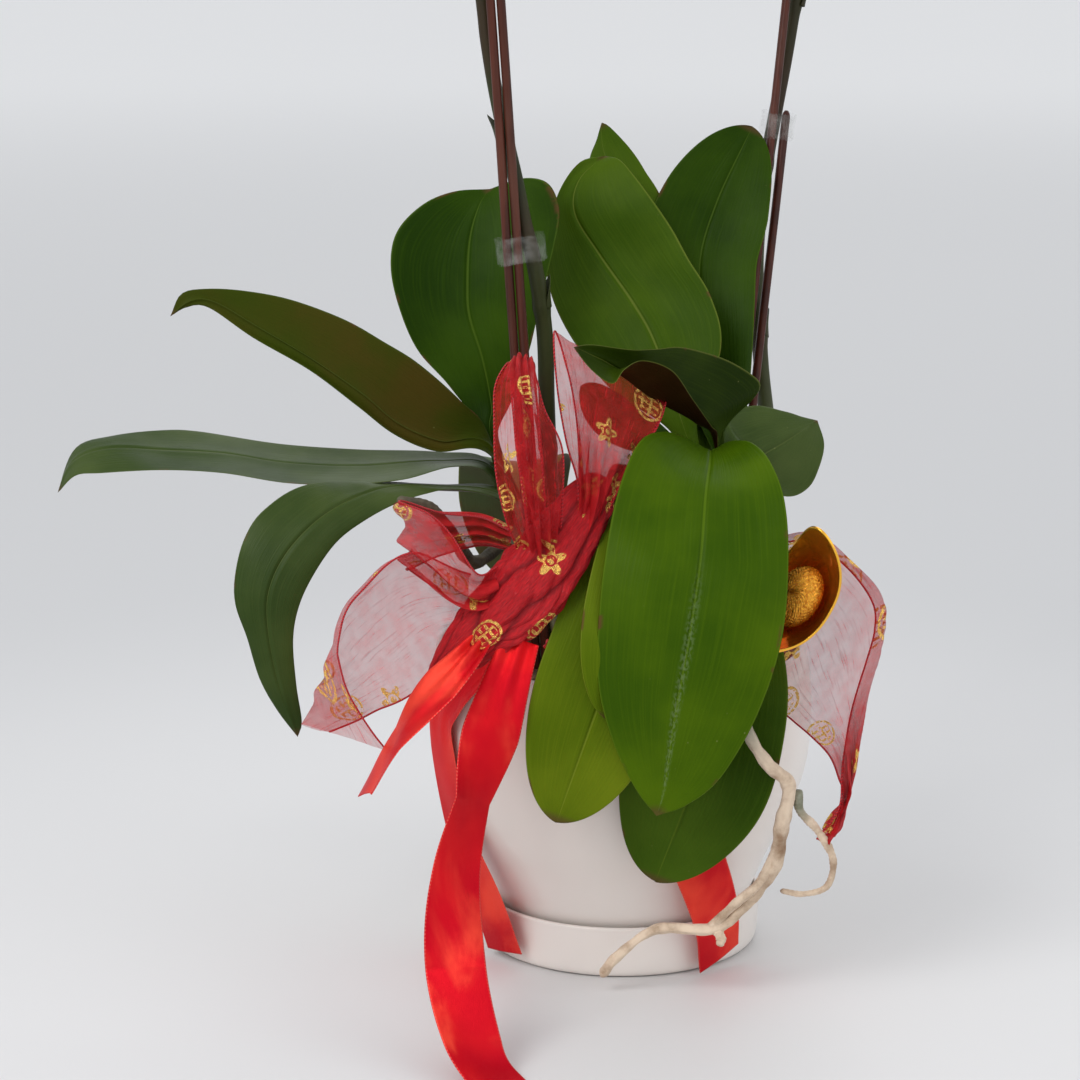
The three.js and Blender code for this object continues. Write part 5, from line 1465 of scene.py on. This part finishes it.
def gather_surface():
    """The oval's turn a is folded by |sin(7a + drift)| and |sin(15a - 2 drift)|, and the drift is a
    slow sine of the way along, so that the creases run lengthwise and wander."""
    places, directions = run(placed(GATHER_LINE), GATHER_ROWS)
    s = np.linspace(0, 1, GATHER_ROWS)
    side, normal = frames(directions, np.broadcast_to([0.0, -1.0, 0.2], places.shape))
    turn = np.linspace(0, 2 * np.pi, GATHER_SIDES, endpoint=False)[None]
    drift = (2.4 * np.sin(3.3 * s) + 0.7 * np.sin(13 * s))[:, None]
    fold = np.abs(np.sin(3.5 * turn + drift + 0.6 * np.sin(2 * turn)))
    small = np.abs(np.sin(8 * turn - 1.8 * drift + np.sin(3 * turn + 9 * s[:, None])))
    out = 0.76 + 0.20 * fold + 0.09 * small + 0.02 * np.sin(60 * s[:, None] + 5 * turn)
    ends = ((1 - np.abs(2 * s - 1) ** 14) ** 0.5)[:, None] * out
    wide, deep = along(GATHER_HALF, s)[:, None] * ends, along(GATHER_DEPTH, s)[:, None] * ends
    rings = places[:, None] + side[:, None] * (wide * np.cos(turn))[..., None]
    rings = rings + normal[:, None] * (deep * np.sin(turn))[..., None]
    return skin(
        rings,
        across_mm=np.abs(turn - np.pi) * 16,
        along_mm=(s * length_of(places))[:, None],
        crease=fold * (0.5 + 0.5 * small),
    )


dense = Recipe("gathered_organza", Specular_IOR_Level=0.3)
dense_place = dense.vector(dense.value("across_mm"), dense.value("along_mm"))
dense_foil = dense.times(foil_print(dense, dense_place, 19.0, 0.5), 0.95)
crumple = dense.noise(1.0, dense.stretched((1.6, 0.22, 1.0), place=dense_place), detail=6.0, rough=0.7)
fuzz_and_sheen = dense.noise(420.0, detail=4.0, rough=0.7)
dense_red = dense.mix(dense.ease(crumple, 0.3, 0.7), (0.30, 0.001, 0.005), (0.62, 0.006, 0.012))
# Painted shade: the gathered organza is darkened to a near-black red in the creases of the knot, where shade
# falls.
painted_crease_shade = dense.ease(dense.value("crease"), 0.0, 0.35, 0.7, 0.0)
dense_red = dense.mix(painted_crease_shade, dense_red, (0.14, 0.0005, 0.003))
# Painted sheen: paler pink flecks where loose fibres catch the light; the same noise also gives a fine fuzz
# relief.
dense_red = dense.mix(dense.ease(fuzz_and_sheen, 0.60, 0.75, 0.0, 0.35), dense_red, (0.72, 0.16, 0.16))
dense.set(
    Base_Color=dense.mix(dense_foil, dense_red, GOLD_LEAF),
    Metallic=dense_foil,
    Roughness=dense.ease(dense_foil, 0.0, 1.0, 0.48, 0.24),
    Normal=dense.bump(crumple, 0.0014, 0.8, dense.bump(fuzz_and_sheen, 0.0004, 0.5)),
)
piece("bow_knot_gather", gather_surface(), dense.material, "sheer_ribbon", "bow_knot")

# %% [markdown]
# ## Satin tails and bands
# Under the bow a 25 mm satin ribbon goes round the pot. Satin is stiff along its length and bends
# one way only, so a tail is a strip that turns slowly about its line. Its finish matters most: a
# deep red with broad orange patches painted on as highlights, a soft blurred gloss, and a row of
# tiny loops on each edge.

# %% Lay out the satin
SATIN_WIDTH = 25.4
FULL_SATIN = SATIN_WIDTH / 2
SATIN_HALF_THICKNESS = 0.22
TABLE_GAP = 2.0
# piece: line, the way its face looks, half-width along it
SATIN_TAILS = {
    "satin_tail_long": (
        [[-45, -110, 168], [-53, -117, 145], [-64, -126, 108], [-72, -138, 74], [-72, -157, 40],
         [-64, -177, 13], [-54, -190, TABLE_GAP], [-46, -204, TABLE_GAP]],
        [[0, -1, 0.3], [0.1, -1, 0.2], [0.9, -0.6, 0.1], [0.6, -0.6, 0.6],
         [0, -0.4, 1], [0, 0, 1], [0, 0, 1]],
        [8, FULL_SATIN, FULL_SATIN, FULL_SATIN, FULL_SATIN, FULL_SATIN]),
    "satin_tail_short": (
        [[-60, -110, 170], [-72, -120, 158], [-92, -124, 136], [-111, -122, 104]],
        [[0, -1, 0.4], [-0.8, -0.8, 0.6], [-1, -0.2, 0.7], [-1, -0.05, 0.45]],
        [4, 11, FULL_SATIN, FULL_SATIN]),
}
SATIN_BANDS = {
    "satin_band_left": ([-58, -91, 170], [-133, -146, -154, -152, -144, -141]),
    "satin_band_right": ([-33, -98, 165], [-98, -90, -81, -70, -57, -50]),
}
BAND_SHARES = [1.06, 0.92, 0.78, 0.48, 0.2]
BAND_CLEARANCE = 2.1
BAND_FOOT = 5.5
print(len(SATIN_TAILS), "satin tails and", len(SATIN_BANDS), "bands")


# %% Shape a satin ribbon
def satin_strip(places, directions, face, half, cut=0.0):
    """A thin closed strip. Near its gathered start it creases across; at its far end it is cut on
    the slant, by moving each point along the line by a share of its place across."""
    s = np.linspace(0, 1, len(places))
    side, normal = frames(directions, face)
    u, out = lens_section(28)
    reach = half[:, None]
    pinch = np.clip(1 - half / FULL_SATIN, 0, 1)[:, None]
    crease = 3.2 * pinch * np.sin(7.5 * u + 2.0) + 0.35 * np.sin(14 * s[:, None] + 2.5 * u)
    grid = places[:, None] + side[:, None] * (reach * u)[..., None] + normal[:, None] * crease[..., None]
    slant = cut * u * np.clip((s[:, None] - 0.9) / 0.1, 0, 1) ** 2
    grid = grid + directions[:, None] * slant[..., None]
    thick = SATIN_HALF_THICKNESS * np.ones(grid.shape[:2])
    length = length_of(places)
    values = dict(along_mm=(s * length)[:, None], across_mm=(FULL_SATIN * u)[None])
    return thickened(grid, thick, u, out), values, length


def pot_radius(share):
    """The pot's outer radius at a share of its height."""
    return np.interp(share * pot_height, outside[:, 1], outside[:, 0])


def band_line(start, turns):
    """From the knot over the belly and straight down to the saucer's foot, in turns round the pot."""
    clear_of = BAND_CLEARANCE + FULL_SATIN**2 / (2 * belly_radius)
    foot = saucer_radius + clear_of + 0.4
    points = [placed(start)]
    for share, turn in zip(BAND_SHARES + [None], np.radians(turns)):
        if share is None:
            radius, height = foot, BAND_FOOT
        else:
            straight = foot + (belly_radius + clear_of - foot) * min(share / 0.62, 1)
            radius = max(straight, pot_radius(min(share, 1.0)) + clear_of)
            height = share * pot_height + pot_foot
        points.append([radius * np.cos(turn), radius * np.sin(turn), height])
    return np.array(points)


print(f"at mid height the pot is {2 * pot_radius(0.5):.0f} mm across")

# %% Mix the satin's finish
satin = Recipe("picot_edged_satin", Metallic=0.42, Specular_IOR_Level=0.35, Specular_Tint=(1.0, 0.24, 0.15))
s_across, s_along = satin.value("across_mm"), satin.value("along_mm")
threads = satin.woven(satin.times(s_across, 9.0), satin.times(s_along, 0.5), 2.0)
cloud = satin.noise(24.0, detail=3.0)
red = satin.mix(satin.ease(cloud, 0.3, 0.7), (0.56, 0.0010, 0.014), (0.74, 0.010, 0.016))
# Painted highlight: broad stretched patches of orange-red, where the tails would face the light.
painted_highlight = satin.ease(satin.noise(30.0, satin.stretched((1.0, 1.0, 0.55)), detail=4.0, warp=0.6), 0.46, 0.66)
red = satin.mix(satin.times(painted_highlight, 0.75), red, (0.98, 0.085, 0.045))
edge = satin.ease(satin.sums("ABSOLUTE", s_across), 12.0, 12.2)
loops = satin.ease(satin.sums("SINE", satin.times(s_along, 4.2)), 0.0, 0.3)
red = satin.mix(satin.times(edge, satin.times(loops, 0.75)), red, (0.85, 0.16, 0.12))
satin.set(
    Base_Color=red,
    Roughness=satin.ease(threads, 0.3, 0.7, 0.33, 0.42),
    Normal=satin.bump(threads, 0.00025, 0.5, satin.bump(cloud, 0.0015, 0.3)),
)


print("satin threads run along", satin.material.name)


# %% Hang the satin
SATIN_ROWS = 260
SLANT = 7.0
FRAYED_THREADS = 22
THREAD_RADIUS = 0.14


def hang_satin(name, strip, values):
    """One ribbon as a piece."""
    thing = piece(f"{name}_ribbon", skin(strip, **values), satin.material, "satin_ribbon", name)


def frayed_end(end, direction):
    """Short threads out of the cut edge: each goes on along the ribbon, a little to one side and
    down, as far as the table."""
    draw = np.random.default_rng(17)
    threads = []
    for k in draw.integers(1, 28, FRAYED_THREADS):
        start = end[k]
        onward = direction * draw.uniform(3, 9)
        tip = start + (onward + np.array([draw.normal(0, 1.6), 0, draw.uniform(-1.2, 0.5)]))
        tip[2] = max(tip[2], 0.3)
        middle = (start + tip) / 2 + [0, 0, 0.6]
        threads.append(tube([start - direction, middle, tip], THREAD_RADIUS, 8, 5))
    return together(threads)


share = np.linspace(0, 1, SATIN_ROWS)
for name, (line, face, half) in SATIN_TAILS.items():
    places, directions = run(placed(line), SATIN_ROWS)
    strip, values, length = satin_strip(places, directions, along(face, share), along(half, share), SLANT)
    fray = ()
    if name == "satin_tail_long":
        threads = frayed_end(strip[-1, :29], directions[-1])
        fray = (piece("satin_tail_fray", threads, cord_red.material, "satin_ribbon"),)
    hang_satin(name, strip, values)

for name, (start, turns) in SATIN_BANDS.items():
    places, directions = run(band_line(start, turns), SATIN_ROWS)
    outward = np.c_[places[:, :2], np.full(SATIN_ROWS, 0.01)]
    widths = along([4, 9, *[FULL_SATIN] * 3], share)
    strip, values, length = satin_strip(places, directions, outward, widths)
    hang_satin(name, strip, values)

# %% [markdown]
# ## The gold boat
# A toy ingot of gold-plated plastic sits among the ribbons: a boat with high prows and a mound of
# glitter in its lap. The boat is a dish over an oval, and its prows rise with the cube of the
# cosine. Its shell is closed by going out along the top and back along the underside.

# %% Shape the gold boat and its mound
INGOT_LENGTH = 58.0
INGOT_WIDTH = 34.0
INGOT_PROW = 15.0
INGOT_DEPTH = 10.0
INGOT_WALL = 1.6
BOAT_STEPS = 44
RIM_STEPS = 7
INGOT_MIDDLE = placed([73, -91, 182])
boat_z = unit(np.array([-0.55, -0.75, 0.45]))
boat_x = np.array([0.5, 0.1, 0.86])
boat_x = unit(boat_x - boat_z * (boat_x @ boat_z))
boat_axes = np.stack([boat_x, np.cross(boat_z, boat_x), boat_z])


def boat_surface():
    """At the share r of the way out and the turn a, the height is a prow, r |cos a| cubed, less a
    bowl that deepens as 1 - r^2.5. The rim is a half circle from the top skin to the lower one."""
    turn = np.linspace(0, 2 * np.pi, 160, endpoint=False)[None]
    out = np.linspace(0.004, 1, BOAT_STEPS) ** 0.8
    arc = np.linspace(0, np.pi, RIM_STEPS + 2)[1:-1]
    share = np.r_[out, 1 + 0.5 * INGOT_WALL / 25 * np.sin(arc), out[::-1]][:, None]
    rim_drop = 0.5 * INGOT_WALL * (1 - np.cos(arc))
    drop = np.r_[np.zeros(BOAT_STEPS), rim_drop, np.full(BOAT_STEPS, INGOT_WALL)][:, None]
    inside_share = np.minimum(share, 1)
    prow = INGOT_PROW * (inside_share * np.abs(np.cos(turn))) ** 3
    height = prow + INGOT_DEPTH * (inside_share**2.5 - 1) - drop
    x = INGOT_LENGTH / 2 * share * np.cos(turn)
    y = INGOT_WIDTH / 2 * share * np.sin(turn)
    rings = np.stack([x, y, height], -1) @ boat_axes + INGOT_MIDDLE
    # The lap value marks the hollow of the boat towards its middle, where the finish paints shade.
    inner_side = np.r_[np.ones(BOAT_STEPS), np.linspace(1, 0, RIM_STEPS), np.zeros(BOAT_STEPS)][:, None]
    return skin(rings, lap=inner_side * (1 - inside_share**3))


def mound_surface():
    """Half an egg of glitter, its skin broken by short sines into grains."""
    t = np.linspace(0.02, np.pi - 0.02, 110)[:, None]
    turn = np.linspace(0, 2 * np.pi, 190, endpoint=False)[None]
    grain = 1 + 0.02 * np.sin(37 * turn) * np.sin(31 * t) + 0.02 * np.sin(61 * turn + 40 * t)
    x, y = grain * np.sin(t) * np.cos(turn), grain * np.sin(t) * np.sin(turn)
    body_size = np.array([INGOT_LENGTH * 0.24, INGOT_WIDTH * 0.3, INGOT_DEPTH * 0.75])
    rings = np.stack([x, y, grain * np.cos(t) + 0 * turn], -1) * body_size
    rings[..., 2] += 3.0 - INGOT_DEPTH * 0.25
    return skin(rings @ boat_axes + INGOT_MIDDLE)


print("the boat is", INGOT_LENGTH, "mm from prow to prow")

# %% Mix the golds and set the boat
plated = Recipe("gold_plated_plastic", Metallic=0.82, Coat_Weight=0.5, Coat_Roughness=0.04)
dents = plated.noise(70.0, detail=2.0)
# Painted shade: the lap is a darker, redder amber than the bright gold of the rim and prows.
gold = plated.mix(plated.value("lap"), (1.0, 0.52, 0.035), (0.92, 0.20, 0.008))
plated.set(
    Base_Color=gold,
    Roughness=plated.ease(plated.noise(300.0), 0.3, 0.7, 0.09, 0.2),
    Normal=plated.bump(dents, 0.0016, 0.35),
)
glitter = Recipe("gold_glitter", Metallic=0.75)
flakes = glitter.cells(1100.0, output="Color")
tint = glitter.put("ShaderNodeSeparateColor", Color=flakes).outputs
glitter.set(
    Base_Color=glitter.mix(tint[0], (0.55, 0.17, 0.008), (1.0, 0.48, 0.05)),
    Roughness=glitter.ease(tint[1], 0.0, 1.0, 0.12, 0.4),
    Normal=glitter.bump(tint[2], 0.0012, 1.0),
)
piece("ingot_boat_shell", boat_surface(), plated.material, "gold_plastic", "ingot_boat")
piece("ingot_glitter_mound", mound_surface(), glitter.material, "gold_glitter", "ingot_glitter")

# %% [markdown]
# ## Table and light
# The plant stands on a pale seamless floor. Big soft lights suit waxy leaves, because a leaf shows
# the lamp's shape in its gloss: a wide key from the front left, a weaker fill and an even sky.

# %% Lay the floor
FLOOR_RADIUS = 14000.0


def floor_disc():
    """Rings from the middle outwards, with the distance kept as a value for the finish."""
    radius = np.r_[0.0, np.geomspace(60, FLOOR_RADIUS, 40)][:, None] + 0.01
    turn = np.linspace(0, 2 * np.pi, 96, endpoint=False)[None]
    rings = np.stack([radius * np.cos(turn), radius * np.sin(turn), 0 * radius * turn - 0.05], -1)
    points, faces, values = cloth(np.concatenate([rings, rings[:, :1]], 1), far=radius / 1000)
    return points, [faces[0][:, ::-1]], values


paper = Recipe("pale_paper", Roughness=0.55)
tooth = paper.noise(900.0, detail=2.0)
far = paper.value("far")
# Painted light: the floor is paler close to the plant, darker from 0.2 m to 0.75 m out, and much paler far
# away, standing in for the fall-off of the lamps.
painted_falloff_tone = paper.mix(paper.ease(far, 0.2, 0.75), (0.70, 0.695, 0.69), (0.575, 0.575, 0.575))
paper.set(
    Base_Color=paper.mix(paper.ease(far, 0.7, 6.0), painted_falloff_tone, (0.96, 0.955, 0.94)),
    Normal=paper.bump(tooth, 0.0001, 0.1),
)
floor = piece("floor", floor_disc(), paper.material, None)


# %% Light the plant
LIT_POINT = np.array([0.0, 0.0, 0.22])


def soft_light(name, place, size, power):
    """A square lamp, aimed at the middle of the plant."""
    lamp = bpy.data.objects.new(name, bpy.data.lights.new(name, "AREA"))
    lamp.data.shape = "SQUARE"
    lamp.data.size, lamp.data.energy = size, power
    way = LIT_POINT - place
    lamp.location = place
    lamp.rotation_euler = (np.arccos(-way[2] / np.linalg.norm(way)), 0.0, np.arctan2(-way[0], way[1]))
    bpy.context.scene.collection.objects.link(lamp)
    print(f"{name} light of {power:.0f} W")


soft_light("key", np.array([-1.3, -1.5, 1.9]), 1.3, 30.0)
soft_light("fill", np.array([1.8, -1.2, 1.3]), 1.6, 7.0)
soft_light("back", np.array([0.4, 1.8, 2.2]), 1.6, 9.0)
sky = bpy.data.worlds.new("sky")
sky.use_nodes = True
sky.node_tree.nodes["Background"].inputs["Color"].default_value = (0.94, 0.96, 1.0, 1.0)
sky.node_tree.nodes["Background"].inputs["Strength"].default_value = 0.80
bpy.context.scene.world = sky
bpy.context.scene.view_settings.view_transform = "Standard"

# %% [markdown]
# ## Measure and finish
# A finer surface must stay close to the solid that it covers.
